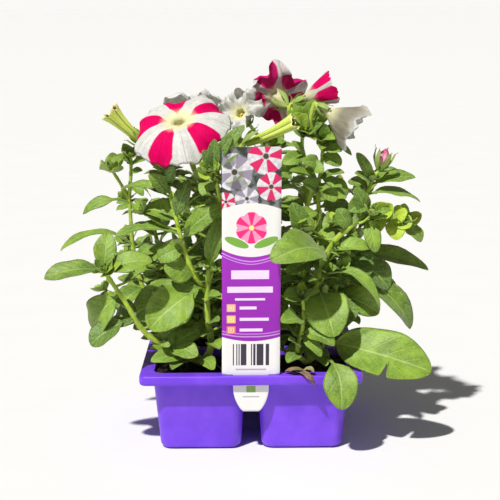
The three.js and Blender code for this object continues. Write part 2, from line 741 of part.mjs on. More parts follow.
// Leaves by rule for the plants at the back: a leaf every so often up each stem, a golden angle apart.
function ruledLeaves (plant, quadrant) {
  const { first, spacing, longest, shortest, reach, seed } = plant.rule
  const leaves = []
  plant.stems.forEach(([points], order) => {
    const curve = spline(points)
    const length = curve.getLength()
    const count = Math.floor(length * (1 - first) / spacing)
    for (let i = 0; i < count; i++) {
      const along = first + (i + 0.5) / count * (1 - first)
      const draw = noise(seed + order * 17 + i)
      const turn = (i + order * 2.3) * goldenAngle + draw
      const size = lerp(longest, shortest, along) * (0.85 + 0.3 * draw)
      const root = curve.getPointAt(along)
      const slope = lerp(-0.35, 0.45, noise(seed + order * 5 + i * 3))
      const reachOut = new THREE.Vector3(Math.cos(turn), Math.sin(turn), slope).multiplyScalar(size)
      const tip = root.clone().add(reachOut)
      tip.x = quadrant.signX * THREE.MathUtils.clamp(tip.x * quadrant.signX, 7, reach)
      tip.y = quadrant.signY * THREE.MathUtils.clamp(tip.y * quadrant.signY, 7, 84)
      tip.z = Math.max(tip.z, pack.height + 8)
      leaves.push([root.toArray(), tip.toArray(), size * 0.5])
    }
  })
  return leaves
}

// A whorl of small leaves round a growing tip, bent to the plant's side of the pack.
function whorl ([place, direction, count, length, width], seed, keep) {
  const axes = flowerAxes(direction)
  const root = vec(place).addScaledVector(axes.out, 2)
  const leaves = Array.from({ length: count }, (_, i) => {
    const turn = (i + 0.5) / count * 2 * Math.PI
    const open = 0.45 + 0.45 * noise(seed + i)
    const size = length * (0.75 + 0.4 * noise(seed + i * 7))
    const tip = keep(flowerPoint(root, axes, size * open, turn, size * (1 - 0.5 * open)))
    return { tip, width: width * size / length, bulge: size * 0.12 }
  })
  return spray(root, axes, growingTip, leaves)
}

function nearestOnStems (curves, point) {
  let best = null
  let least = Infinity
  for (const curve of curves) {
    for (let i = 0; i <= 80; i++) {
      const p = curve.getPoint(i / 80)
      const distance = p.distanceTo(point)
      if (distance < least) [best, least] = [p, distance]
    }
  }
  return best
}

function plantParts (plant, quadrant, seed) {
  const keep = keeper(quadrant)
  const curves = plant.stems.map(([points]) => spline(points))
  const parts = plant.stems.map(([points, foot, tip]) => stemSolid(points, foot, tip))
  const listed = plant.rule ? [...plant.leaves, ...ruledLeaves(plant, quadrant)] : plant.leaves
  listed.forEach(([root, tip, width, options = {}], i) => {
    const { face = plant.face, ...rest } = options
    const phase = noise(seed + i) * 6
    const start = nearestOnStems(curves, vec(root))
    start.addScaledVector(vec(tip).sub(start).normalize(), -rootDepth)
    const blade = { arch: 0.12, ...rest, root: start, tip: vec(tip), width, face: vec(face), phase }
    parts.push(bladeSolid(blade, keep))
  })
  plant.tips.forEach((tip, i) => parts.push(whorl(tip, seed + i * 3, keep)))
  return parts
}

function crownSolid ([x, y], grow = 0) {
  const radius = crown.radius + grow
  const height = crown.top - crown.low + 2 * grow
  const plug = new THREE.CylinderGeometry(radius, radius * 0.6, height, 8)
  return solidOf(plug.rotateX(Math.PI / 2).translate(x, y, (crown.top + crown.low) / 2))
}

// ---------------------------------------------------------------- blooms and buds

// Radius and rise of the corolla's middle surface: 0 is its base, 1 its throat, 2 its rim.
function corollaProfile (bloom, place) {
  const { forward = 0 } = bloom
  const throat = corolla.throat + bloom.radius * 0.06
  if (place <= 1) return [lerp(corolla.baseRadius, throat, place ** 2.2), bloom.tube * place]
  const out = place - 1
  const spread = (forward ? Math.sin(out * Math.PI / 2) : out) ** 0.85
  const radius = lerp(throat, bloom.radius, spread)
  const flare = forward * out + 5 * Math.sin(out * Math.PI * 0.62)
  return [radius, bloom.tube + flare - bloom.droop * out ** 1.8]
}

function corollaRing (bloom, axes, place, inward) {
  const base = vec(bloom.base)
  const out = Math.max(place - 1, 0)
  const [radius, rise] = corollaProfile(bloom, place)
  return Array.from({ length: corolla.sides }, (_, i) => {
    const turn = i / corolla.sides * 2 * Math.PI
    const lobe = 1 + 0.06 * out ** 2 * Math.cos(5 * turn)
    const ruffle = 1.3 * out ** 2 * Math.sin(7 * turn + bloom.spin) + 0.9 * out ** 2 * Math.cos(5 * turn)
    const skin = inward ? corolla.skin : 0
    const wall = place < 1 ? skin : skin * (1 - Math.min(out * 2, 1))
    const lift = place < 1 ? 0 : skin
    const angle = turn + THREE.MathUtils.degToRad(bloom.spin)
    const sag = (bloom.sag ?? 0) * out ** 2 * Math.max(Math.cos(angle), 0)
    return flowerPoint(base, axes, radius * lobe - wall, angle, rise + ruffle + lift - sag)
  })
}

function corollaSolid (bloom) {
  const axes = flowerAxes(bloom.axis)
  const outside = [0, 0.7, 1, 1.4, 2]
  const inside = [2, 1.4, 1, 0.6]
  return loft([
    ...outside.map((place) => corollaRing(bloom, axes, place, false)),
    ...inside.map((place) => corollaRing(bloom, axes, place, true))
  ])
}

// A rod with five furrows along it.
function rodSolid ({ base, end, radii }) {
  const foot = vec(base)
  const reach = vec(end).sub(foot)
  const axes = flowerAxes(reach.toArray())
  return loft(radii.map((radius, level) => Array.from({ length: 10 }, (_, i) => {
    const furrow = level === 0 ? 1 : 1 + (i % 2 ? -0.16 : 0.12)
    const turn = (i / 10 + level * 0.03) * 2 * Math.PI
    return flowerPoint(foot, axes, radius * furrow, turn, reach.length() * level / (radii.length - 1))
  })))
}

// A withered leaf that lies over the rim beside the label.
function witheredLeaf () {
  const shape = { face: new THREE.Vector3(0, -0.3, 1), arch: 0.1, petiole: 0.05, phase: 2 }
  const blade = (root, tip, width, via) => {
    return bladeSolid({ ...shape, root: vec(root), tip: vec(tip), width, via })
  }
  return Manifold.union([
    blade([30, -64, 55.8], [43, -73.4, 48], 9, [38, -75.5, 59]),
    blade([33, -66, 56.4], [22, -64, 56.6], 7)
  ])
}

// ---------------------------------------------------------------- assembly

const group = new THREE.Group()

function place (name, geometry, color, roughness) {
  const material = new THREE.MeshStandardMaterial({ color, roughness, metalness: 0 })
  const mesh = new THREE.Mesh(geometry, material)
  mesh.name = name
  group.add(mesh)
}

place('cell_pack', geometryOf(cellPack()), colors.pack, 0.4)
place('plant_label', plantLabel(), colors.label, 0.35)

const rodAxis = ({ base, end }) => vec(end).sub(vec(base)).toArray()
const flowers = [...blooms, ...rods.map((rod) => ({ ...rod, axis: rodAxis(rod) }))]

quadrants.forEach((quadrant, index) => {
  const { name } = quadrant
  const plant = plants[name]
  const own = flowers.filter((flower) => flower.plant === name)
  const parts = plantParts(plant, quadrant, index * 100)
  own.forEach((flower, i) => parts.push(...flowerSeat(flower, index * 10 + i)))
  const body = Manifold.union([crownSolid(plant.crown), ...parts])
  place(`plant_${name}`, geometryOf(body), colors.leaf, 0.75)
  const clearance = plant.stems.map(([points, foot, tip]) => stemSolid(points, foot, tip, stemClearance))
  const hole = Manifold.union([crownSolid(plant.crown, gap), ...clearance])
  place(`potting_mix_${name}`, geometryOf(pottingMix(quadrant, index * 50).subtract(hole)), colors.mix, 0.95)
})

for (const bloom of blooms) place(bloom.name, geometryOf(corollaSolid(bloom)), bloom.color, 0.6)
for (const rod of rods) place(rod.name, geometryOf(rodSolid(rod)), rod.color, 0.65)
place('withered_leaf', geometryOf(witheredLeaf()), colors.withered, 0.9)

export default group
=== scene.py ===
import json
import math

import bpy
import numpy as np
from mathutils import Matrix, Vector
from mathutils import noise as fractal

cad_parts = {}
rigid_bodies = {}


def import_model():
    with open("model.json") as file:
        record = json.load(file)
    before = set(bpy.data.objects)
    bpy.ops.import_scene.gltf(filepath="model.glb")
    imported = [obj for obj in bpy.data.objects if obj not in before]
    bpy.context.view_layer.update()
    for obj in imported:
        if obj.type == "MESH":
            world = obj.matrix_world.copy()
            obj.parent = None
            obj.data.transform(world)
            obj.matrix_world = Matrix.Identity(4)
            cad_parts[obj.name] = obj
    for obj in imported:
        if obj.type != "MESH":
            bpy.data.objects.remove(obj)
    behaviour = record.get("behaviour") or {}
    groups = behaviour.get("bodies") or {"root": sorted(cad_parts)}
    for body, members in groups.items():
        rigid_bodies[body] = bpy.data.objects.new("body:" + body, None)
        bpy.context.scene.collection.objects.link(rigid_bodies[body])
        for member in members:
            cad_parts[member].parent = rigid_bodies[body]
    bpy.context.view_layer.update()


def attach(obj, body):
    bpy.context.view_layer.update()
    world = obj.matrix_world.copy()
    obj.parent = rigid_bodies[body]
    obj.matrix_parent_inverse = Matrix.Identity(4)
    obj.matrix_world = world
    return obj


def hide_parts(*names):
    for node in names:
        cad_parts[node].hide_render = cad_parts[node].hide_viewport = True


# Petunias in a four-cell pack. Lengths are in millimetres, and Skin.object makes them metres.

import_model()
mm = 0.001
goldenAngle = 2.4    # radians from one leaf of a stem to the next


def draw(n):
    # a repeatable number from 0 to 1
    x = math.sin(n * 12.9898 + 4.1414) * 43758.5453
    return x - math.floor(x)


def unit(v):
    v = np.asarray(v, float)
    return v / np.maximum(np.linalg.norm(v, axis=-1, keepdims=True), 1e-9)


def mix(a, b, t):
    return a + (b - a) * t


def throughPoints(points, steps):
    # a smooth curve through the points, evenly spaced in its parameter
    p = np.asarray(points, float)
    p = np.vstack([2 * p[0] - p[1], p, 2 * p[-1] - p[-2]])
    place = np.linspace(0, len(p) - 3, steps)
    index = np.minimum(place.astype(int), len(p) - 4)
    t = (place - index)[:, None]
    a, b, c, d = p[index], p[index + 1], p[index + 2], p[index + 3]
    square = (2 * a - 5 * b + 4 * c - d) * t ** 2
    cube = (3 * b - a - 3 * c + d) * t ** 3
    return 0.5 * (2 * b + (c - a) * t + square + cube)


def runAlong(path):
    # the length of the path up to each of its points
    return np.concatenate([[0], np.cumsum(np.linalg.norm(np.diff(path, axis=0), axis=1))])


def pointAlong(path, run, share):
    return np.array([np.interp(share * run[-1], run, path[:, axis]) for axis in range(3)])


def ringTurns(sides):
    # the angles of points spaced evenly round a ring
    return np.arange(sides) / sides * 2 * math.pi


def flowerAxes(axis):
    # out along the flower, and down and side across it
    out = unit(axis)
    down = unit(np.array([0, 0, -1.0]) + out * out[2])
    return out, down, np.cross(down, out)


def around(base, axes, radius, turn, rise):
    # points at these radii, angles and rises about a flower's axis
    out, down, side = axes
    radius, turn, rise = np.broadcast_arrays(radius, turn, rise)
    return (np.asarray(base, float) + out * rise[..., None]
            + down * (radius * np.cos(turn))[..., None] + side * (radius * np.sin(turn))[..., None])


class Skin:
    # gathers closed lofts of rings into one mesh

    def __init__(self):
        self.points, self.faces, self.uv, self.tone, self.under = [], [], [], [], []

    def loft(self, rings, uv=None, wrap=0, tone=0.5, under=None):
        # rings is levels x sides x 3; wrap is what uv gains where a ring closes
        levels, sides, _ = rings.shape
        if uv is None:
            uv = np.stack(np.meshgrid(np.arange(sides) / sides, np.linspace(0, 1, levels)), -1)
            wrap = 1
        points = rings.reshape(-1, 3)
        flatUv = uv.reshape(-1, 2)
        a = (np.arange(levels - 1)[:, None] * sides + np.arange(sides)).ravel()
        b = (np.arange(levels - 1)[:, None] * sides + (np.arange(sides) + 1) % sides).ravel()
        quads = np.stack([a, b, b + sides, a + sides], 1)
        quadUv = flatUv[quads].copy()
        closing = (np.arange(len(a)) % sides) == sides - 1
        quadUv[closing, 1:3, 0] += wrap
        caps = [list(range(sides))[::-1], list(range((levels - 1) * sides, levels * sides))]
        triangles = np.vstack([quads[:, :3], quads[:, [0, 2, 3]]]
                              + [[[cap[0], cap[i], cap[i + 1]] for i in range(1, sides - 1)] for cap in caps])
        corner = points[triangles] - points.mean(0)
        volume = np.einsum("ij,ij->i", corner[:, 0], np.cross(corner[:, 1], corner[:, 2])).sum()
        turned = slice(None, None, -1) if volume < 0 else slice(None)
        first = sum(len(p) for p in self.points)
        for face, faceUv in zip(quads.tolist(), quadUv.tolist()):
            self.faces.append([first + i for i in face[turned]])
            self.uv.extend(faceUv[turned])
        for cap in caps:
            self.faces.append([first + i for i in cap[turned]])
            self.uv.extend(flatUv[cap[turned]].tolist())
        self.points.append(points)
        self.tone.append(np.full(len(points), float(tone)))
        self.under.append(np.zeros(len(points)) if under is None else under.ravel())

    def object(self, name, material=None):
        mesh = bpy.data.meshes.new(name)
        mesh.from_pydata((np.vstack(self.points) * mm).tolist(), [], self.faces)
        mesh.uv_layers.new(name="UVMap").data.foreach_set("uv", np.ravel(self.uv))
        for key, values in (("tone", self.tone), ("under", self.under)):
            attribute = mesh.attributes.new(key, "FLOAT", "POINT")
            attribute.data.foreach_set("value", np.concatenate(values))
        mesh.shade_smooth()
        if material:
            mesh.materials.append(material)
        thing = bpy.data.objects.new(name, mesh)
        bpy.context.collection.objects.link(thing)
        return thing


def finished(thing, node):
    # rides with the body, in the place of its CAD node
    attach(thing, "root")
    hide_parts(node)


def evaluated(thing, name):
    # the object's mesh after its modifiers, as a plain object
    depsgraph = bpy.context.evaluated_depsgraph_get()
    mesh = bpy.data.meshes.new_from_object(thing.evaluated_get(depsgraph), depsgraph=depsgraph)
    mesh.name = name
    # strewn points bring along the UVMap of the ground under them, which the copies have no use for
    for layer in [a for a in mesh.attributes if a.name == "UVMap" and a.domain != "CORNER"]:
        mesh.attributes.remove(layer)
    bpy.data.objects.remove(thing)
    plain = bpy.data.objects.new(name, mesh)
    bpy.context.collection.objects.link(plain)
    return plain


def tube(skin, path, radii, sides, tone):
    # a round tube along a path, its rings turned as little as can be
    tangent = unit(np.gradient(path, axis=0))
    normal = unit(np.cross(tangent[0], [0.3, 1, 0.2]))
    turn = ringTurns(sides)
    rings = []
    for centre, along, radius in zip(path, tangent, radii):
        normal = unit(normal - along * np.dot(normal, along))
        other = np.cross(along, normal)
        rings.append(centre + radius * (np.cos(turn)[:, None] * normal + np.sin(turn)[:, None] * other))
    skin.loft(np.array(rings), tone=tone)


# Blades are leaves and sepals.
bladeShape = {
    "petiole": 0.14,         # share of the length
    "petioleWidth": 2.2,
    "thickness": 0.55,
    "arch": 0.12,            # share of the length
    "curl": 0.12,            # the most that a tip drops, as a share of the length
    "fold": (0.02, 0.42),    # how far the edges rise, as a share of the half width
    "wave": 0.075,           # of the edges, as a share of the width
    "groove": 0.35,          # depth of the midrib
    "grooveWidth": 1.1,
    "pillow": 0.012,         # swelling between the side veins, as a share of the width
    "veins": 7,              # side veins on each half
    "veinSlant": 1.7,
    "tearWidth": 0.016       # share of the length
}


def bladeHalfWidth(shape, along):
    petiole = shape.get("petiole", bladeShape["petiole"])
    v = np.clip((along - petiole) / (1 - petiole), 0, 1)
    oval = shape["width"] / 2 * np.sin(math.pi * v ** 0.95).clip(0) ** 0.55
    stalk = min(bladeShape["petioleWidth"], shape["width"] * 0.6) / 2 * (1 - 0.85 * v)
    return np.maximum(oval, stalk)


def bladeFrames(shape, along):
    # the midrib's points, and the way across and up at each
    root, tip, face = (np.asarray(shape[key], float) for key in ("root", "tip", "face"))
    chord = tip - root
    length = np.linalg.norm(chord)
    direction = chord / length
    lift = unit(face - direction * np.dot(face, direction))
    via = (root + tip) / 2 + lift * 2 * shape.get("arch", bladeShape["arch"]) * length
    if "via" in shape:
        via = np.asarray(shape["via"], float)
    t = along[:, None]
    centre = (1 - t) ** 2 * root + 2 * t * (1 - t) * via + t ** 2 * tip
    tangent = unit((1 - t) * (via - root) + t * (tip - via))
    side = unit(np.cross(tangent, face))
    return centre, side, unit(np.cross(side, tangent))


def blade(skin, shape, keep, lengthwise, crosswise, tone=0.5):
    # one closed thin leaf: an upper face from edge to edge, and a lower one back
    along = 0.5 - 0.5 * np.cos(np.linspace(0, math.pi, lengthwise) * 0.96)
    along = along / along[-1]
    centre, side, normal = bladeFrames(shape, along)
    half = bladeHalfWidth(shape, along)
    across = np.linspace(-1, 1, crosswise + 1)
    across = np.sign(across) * np.abs(across) ** 0.85
    ring = np.concatenate([across, across[-2:0:-1]])
    under = np.concatenate([np.zeros(crosswise + 1), np.ones(crosswise - 1)])
    phase = shape.get("phase", 0)
    grid, a = np.meshgrid(along, ring, indexing="ij")
    wide = half[:, None]
    if "tear" in shape:
        where, depth, way = shape["tear"]
        cut = depth * np.exp(-((grid - where) / bladeShape["tearWidth"]) ** 2)
        wide = wide * (1 - cut * (a * way > 0.05))
    ripple = np.sin(7 * grid + phase + a) + 0.5 * np.sin(15 * grid + 2.3 * phase + 2 * a)
    wave = bladeShape["wave"] * shape["width"] * ripple * np.sin(math.pi * grid) * a ** 2
    reach = np.abs(a) * wide
    hollow = np.exp(-(reach / bladeShape["grooveWidth"]) ** 2)
    groove = bladeShape["groove"] * min(1, shape["width"] / 18) * hollow
    rows = bladeShape["veins"] * grid - bladeShape["veinSlant"] * np.abs(a)
    pillow = bladeShape["pillow"] * shape["width"] * np.sin(2 * math.pi * rows) * np.abs(a) * (1 - a ** 2) * 2
    fold = mix(*bladeShape["fold"], draw(phase * 7))
    drop = shape.get("curl", bladeShape["curl"] * draw(phase * 3))
    curl = drop * np.linalg.norm(centre[-1] - centre[0]) * grid ** 3
    lift = fold * wide * np.abs(a) ** 1.4 + wave - groove + pillow - curl
    thick = min(bladeShape["thickness"], shape["width"] * 0.08) * (1 - 0.5 * grid) * np.sqrt(1 - a ** 2)
    stalk = np.clip(1 - wide / 1.6, 0, 1) * wide * 0.9 * np.sqrt(1 - a ** 2)
    lift = lift + np.where(under > 0, -1, 1) * (thick + stalk) / 2
    rings = centre[:, None] + side[:, None] * (a * wide)[..., None] + normal[:, None] * lift[..., None]
    if keep:
        rings = keep(rings)
    uv = np.stack([grid, a / 2 + 0.5], -1)
    skin.loft(rings, uv, 0, tone, np.broadcast_to(under, a.shape))


def fill(tree, socket, term):
    # a value's link or a plain number goes into the socket
    if isinstance(term, Value):
        tree.links.new(term.socket, socket)
    else:
        socket.default_value = term


class Value:
    # an output in a tree of nodes: an expression on it adds Math nodes

    def __init__(self, tree, socket):
        self.tree, self.socket = tree, socket

    def math(self, operation, *terms):
        node = self.tree.nodes.new("ShaderNodeMath")
        node.operation = operation
        for place, term in enumerate(terms):
            fill(self.tree, node.inputs[place], term)
        return Value(self.tree, node.outputs[0])

    def __add__(self, other):
        return self.math("ADD", self, other)

    def __radd__(self, other):
        return self.math("ADD", other, self)

    def __sub__(self, other):
        return self.math("SUBTRACT", self, other)

    def __rsub__(self, other):
        return self.math("SUBTRACT", other, self)

    def __mul__(self, other):
        return self.math("MULTIPLY", self, other)

    def __rmul__(self, other):
        return self.math("MULTIPLY", other, self)

    def __truediv__(self, other):
        return self.math("DIVIDE", self, other)

    def __pow__(self, other):
        return self.math("POWER", self, other)

    def __abs__(self):
        return self.math("ABSOLUTE", self)

    def __lt__(self, other):
        return self.math("LESS_THAN", self, other)

    def __gt__(self, other):
        return self.math("GREATER_THAN", self, other)

    def fract(self):
        return self.math("FRACT", self)

    def floor(self):
        return self.math("FLOOR", self)

    def most(self, other):
        return self.math("MAXIMUM", self, other)


class Tree:
    # any node comes from one method: its type, its settings, then the values or links of its sockets

    def node(self, kind, settings=None, sockets=None, output=0):
        node = self.tree.nodes.new(kind)
        for key, value in (settings or {}).items():
            setattr(node, key, value)
        for key, value in (sockets or {}).items():
            fill(self.tree, node.inputs[key], value)
        return Value(self.tree, node.outputs[output])


class Paint(Tree):
    # one material: its nodes and its shader's constants

    def __init__(self, name, constants=None):
        self.material = bpy.data.materials.new(name)
        self.material.use_nodes = True
        self.tree = self.material.node_tree
        self.shader = self.tree.nodes["Principled BSDF"]
        for key, value in (constants or {}).items():
            self.shader.inputs[key].default_value = value
        self.place = self.node("ShaderNodeTexCoord", output="Object")
        self.xyz = [part * 1000 for part in self.split(self.place)]

    def split(self, vector):
        return [self.node("ShaderNodeSeparateXYZ", sockets={0: vector}, output=i) for i in range(3)]

    def surfaceUv(self):
        return self.split(self.node("ShaderNodeUVMap", {"uv_map": "UVMap"}))[:2]

    def attribute(self, name):
        return self.node("ShaderNodeAttribute", {"attribute_name": name}, output="Fac")

    def noise(self, size, detail, stretch=(1, 1, 1)):
        # size is that of the lumps, in millimetres
        vector = self.node("ShaderNodeMapping", sockets={"Vector": self.place, "Scale": stretch})
        sockets = {"Vector": vector, "Scale": 1000 / size, "Detail": detail, "Roughness": 0.55}
        return self.node("ShaderNodeTexNoise", sockets=sockets)

    def ramp(self, value, low, high, to=(0, 1)):
        settings = {"interpolation_type": "SMOOTHSTEP"}
        sockets = {0: value, 1: low, 2: high, 3: to[0], 4: to[1]}
        return self.node("ShaderNodeMapRange", settings, sockets)

    def mix(self, factor, a, b):
        # a where the factor is 0, and b where it is 1
        return self.node("ShaderNodeMix", {"data_type": "RGBA"}, {0: factor, 6: a, 7: b}, output=2)

    def bump(self, height, depth, strength):
        # depth is the relief's, in millimetres
        sockets = {"Height": height, "Distance": depth * mm, "Strength": strength}
        return self.node("ShaderNodeBump", sockets=sockets)

    def finish(self, colour, roughness, normal=None):
        sockets = {"Base Color": colour, "Roughness": roughness}
        if normal:
            sockets["Normal"] = normal
        for key, value in sockets.items():
            fill(self.tree, self.shader.inputs[key], value)
        return self.material


def rgb(red, green, blue):
    # a colour picked as it looks on a screen, from 0 to 255
    share = [c / 255 for c in (red, green, blue)]
    return [c / 12.92 if c <= 0.04045 else ((c + 0.055) / 1.055) ** 2.4 for c in share] + [1]


pack = {
    "width": 147, "depth": 140, "height": 54, "wall": 1.2, "lipHeight": 6.5, "cornerRadius": 5,
    "sideLedge": 8, "frontLedge": 8.5, "web": 7.4, "draft": 4.5, "webDraft": 3.2,
    "cellRadius": 8, "bottomRadius": 3.2, "drainRadius": 4.5,
    "cornerSides": 8, "drainSides": 32, "slotRadius": 0.3, "edgeRound": 0.5,
    "bright": rgb(134, 76, 240), "deep": rgb(112, 58, 222), "dust": rgb(120, 96, 130)
}
label = {
    "width": 38, "top": 204, "thickness": 0.7, "fromFront": 4.2, "tongueWidth": 23.5, "tipWidth": 10.5,
    "tipHeight": 29, "taperHeight": 45, "slotClearance": 0.5, "cornerRadius": 1.6,
    "lean": 0.011, "bow": 1.0
}
labelY = label["fromFront"] - pack["depth"] / 2
quadrants = {
    "front_left": (-1, -1), "front_right": (1, -1), "back_left": (-1, 1), "back_right": (1, 1)
}


def roundedRing(x0, x1, y0, y1, radius, z, sides=8):
    ring = []
    for corner, (x, y) in enumerate([(x1, y1), (x0, y1), (x0, y0), (x1, y0)]):
        cx = x - math.copysign(radius, x - (x0 + x1) / 2)
        cy = y - math.copysign(radius, y - (y0 + y1) / 2)
        for i in range(sides + 1):
            angle = (corner + i / sides) * math.pi / 2
            ring.append((cx + radius * math.cos(angle), cy + radius * math.sin(angle), z))
    return ring


def cellRing(signs, z, inset):
    rise = z / pack["height"]
    near = mix(pack["web"] / 2 + pack["webDraft"], pack["web"] / 2, rise) + inset
    farX = mix(-pack["draft"], 0, rise) + pack["width"] / 2 - pack["sideLedge"] - inset
    farY = mix(-pack["draft"], 0, rise) + pack["depth"] / 2 - pack["frontLedge"] - inset
    xs = sorted([near * signs[0], farX * signs[0]])
    ys = sorted([near * signs[1], farY * signs[1]])
    return roundedRing(*xs, *ys, pack["cellRadius"] - inset, z, pack["cornerSides"])


def tub(signs, inset, low, high):
    # rounded where its walls meet its floor
    radius = pack["bottomRadius"]
    turns = np.linspace(0, math.pi / 2, 6)
    rings = []
    for t in turns:
        rings.append(cellRing(signs, low + radius * (1 - math.cos(t)), inset + radius * (1 - math.sin(t))))
    return rings + [cellRing(signs, high, inset)]


def solidOf(name, rings, material=None):
    skin = Skin()
    skin.loft(np.asarray(rings, float))
    return skin.object(name, material)


def rimRing(inset, z):
    x, y = pack["width"] / 2 - inset, pack["depth"] / 2 - inset
    return roundedRing(-x, x, -y, y, pack["cornerRadius"] - inset, z, pack["cornerSides"])


def cutOrJoin(base, others, operation):
    for other in others:
        modifier = base.modifiers.new("solid", "BOOLEAN")
        modifier.operation, modifier.solver, modifier.object = operation, "EXACT", other
    joined = evaluated(base, base.name)
    for other in others:
        bpy.data.objects.remove(other)
    return joined


def makePack(material):
    low, high, wall = pack["height"] - pack["lipHeight"], pack["height"], pack["wall"]
    # the lip: a rolled lower edge, an upright face and a rounded shoulder
    lip = [(1.6, low), (0.7, low + 0.35), (0.25, low + 1), (0, low + 2.2), (0, high - 1.1),
           (0.12, high - 0.55), (0.45, high - 0.15), (1.0, high)]
    rim = solidOf("cell_pack_shell", [rimRing(*step) for step in lip])
    under = solidOf("under", [rimRing(wall + 0.8, low - 1), rimRing(wall, high - wall)])
    shell = cutOrJoin(rim, [under], "DIFFERENCE")
    tubs = [solidOf("tub", tub(signs, 0, 0, high - wall / 2)) for signs in quadrants.values()]
    shell = cutOrJoin(shell, tubs, "UNION")
    hollows = [solidOf("hollow", tub(signs, wall, wall, high + 1)) for signs in quadrants.values()]
    middleX = (pack["width"] / 2 - pack["sideLedge"] + pack["web"] / 2) / 2
    middleY = (pack["depth"] / 2 - pack["frontLedge"] + pack["web"] / 2) / 2
    turns = ringTurns(pack["drainSides"])
    for signX, signY in quadrants.values():
        disc = np.stack([signX * middleX + pack["drainRadius"] * np.cos(turns),
                         signY * middleY + pack["drainRadius"] * np.sin(turns), 0 * turns], 1)
        hollows.append(solidOf("drain", [disc + (0, 0, z) for z in (-wall * 3, wall * 3)]))
    slotX = label["tongueWidth"] / 2 + label["slotClearance"]
    slotY = label["thickness"] / 2 + label["slotClearance"]
    slot = [roundedRing(-slotX, slotX, labelY - slotY, labelY + slotY, pack["slotRadius"], z)
            for z in (high - 2 * wall, high + 2 * wall)]
    hollows.append(solidOf("slot", slot))
    shell = cutOrJoin(shell, hollows, "DIFFERENCE")
    bevel = shell.modifiers.new("edges", "BEVEL")
    bevel.width, bevel.segments, bevel.limit_method = pack["edgeRound"] * mm, 3, "ANGLE"
    bevel.angle_limit = math.radians(40)
    shell = evaluated(shell, "cell_pack_shell")
    shell.data.materials.clear()
    shell.data.materials.append(material)
    shell.data.shade_smooth()
    shell.data.set_sharp_from_angle(angle=math.radians(35))
    finished(shell, "cell_pack")


def packPaint():
    p = Paint("purplePlastic", {"Specular IOR Level": 0.45})
    z = p.xyz[2]
    cloud = p.noise(26, 3)
    streaks = p.noise(9, 2, stretch=(1, 1, 0.12))
    # the sheet is drawn thinner, and so lighter, low down
    thin = p.ramp(z, 0, 46, to=(0.12, 0))
    colour = p.mix(p.ramp(cloud + thin * 0.5, 0.35, 0.8), pack["deep"], pack["bright"])
    # specks of dust on the rim
    dust = p.ramp(p.noise(2.2, 4) + p.ramp(z, 49, 55, to=(0, 0.1)), 0.66, 0.74) * p.ramp(z, 50, 54)
    colour = p.mix(dust * 0.3, colour, pack["dust"])
    grain = p.noise(0.8, 3) * 0.4 + streaks * 0.6
    rough = 0.36 + 0.14 * p.noise(6, 3) + dust * 0.25
    return p.finish(colour, rough, p.bump(grain, 0.12, 0.35))


# The label's print is plain bars, squares and flowers. Its places are measured from the label's
# middle and from the ground.
labelPrint = {
    "arch": 164, "archRise": 4, "panelTop": 138, "panelDip": 5, "panelLow": 79.8, "panelLowDip": 3,
    # flowers in the picture: centre, radius, spin, striped or not
    "picture": [
        ((-11, 188), 12.5, 0.1, False), ((9, 198), 12, 0.35, True), ((12.5, 178.5), 9.5, 0.0, True),
        ((-3, 171), 8, 0.2, False), ((-16.5, 169), 6.5, 0.4, True)
    ],
    "pictureGround": (rgb(44, 52, 46), rgb(122, 126, 124)),
    "picturePetals": (rgb(196, 194, 200), rgb(232, 230, 232)),
    "pictureStripes": (rgb(150, 140, 160), rgb(214, 20, 96)),
    "pictureEye": rgb(70, 60, 40),
    "flower": (0, 152), "flowerRadius": 10.5, "flowerPetals": 6, "leafPlace": (9.5, 142.5),
    # lines along the panel's edges: distance from the edge, width
    "lines": ((2.2, 0.5), (4.0, 0.35)),
    # bars on the panel: left, right, low, high
    "bars": [
        (-13, 11.5, 118.4, 124.2), (-15.5, 14, 109.4, 113.4), (-10.5, 9, 104.2, 105.7),
        (-7.5, 3.5, 98.2, 100.2), (-7.5, 11.5, 90.6, 92.6), (-7.5, 7.5, 83.4, 85.4)
    ],
    # squares on the panel: level, colour
    "squares": ((99.2, rgb(240, 170, 150)), (91.6, rgb(235, 190, 120)), (84.4, rgb(240, 120, 120))),
    # on the foot: upright strokes, a thin line under them, and two marks on the tongue
    "strokes": (-12.3, 12.6, 60.5, 75), "strokesPerMillimetre": 1.35,
    "footMarks": [((-10, 10, 57.2, 58.2), 0.5, "ink"), ((-3, 3, 42, 46.5), 0.9, "leaf"),
                  ((-5.5, 5.5, 38.6, 39.5), 0.5, "ink")],
    "backBars": (-13, 13, 90, 150),
    "purple": rgb(144, 14, 172), "purpleLight": rgb(158, 30, 184), "white": rgb(234, 232, 230),
    "ink": rgb(52, 44, 62), "pink": rgb(236, 30, 120), "pinkLight": rgb(250, 150, 190),
    "leaf": rgb(120, 170, 60), "cream": rgb(240, 232, 150), "lilac": rgb(232, 190, 245),
    "barLilac": rgb(236, 214, 244), "squareCream": rgb(250, 226, 170)
}


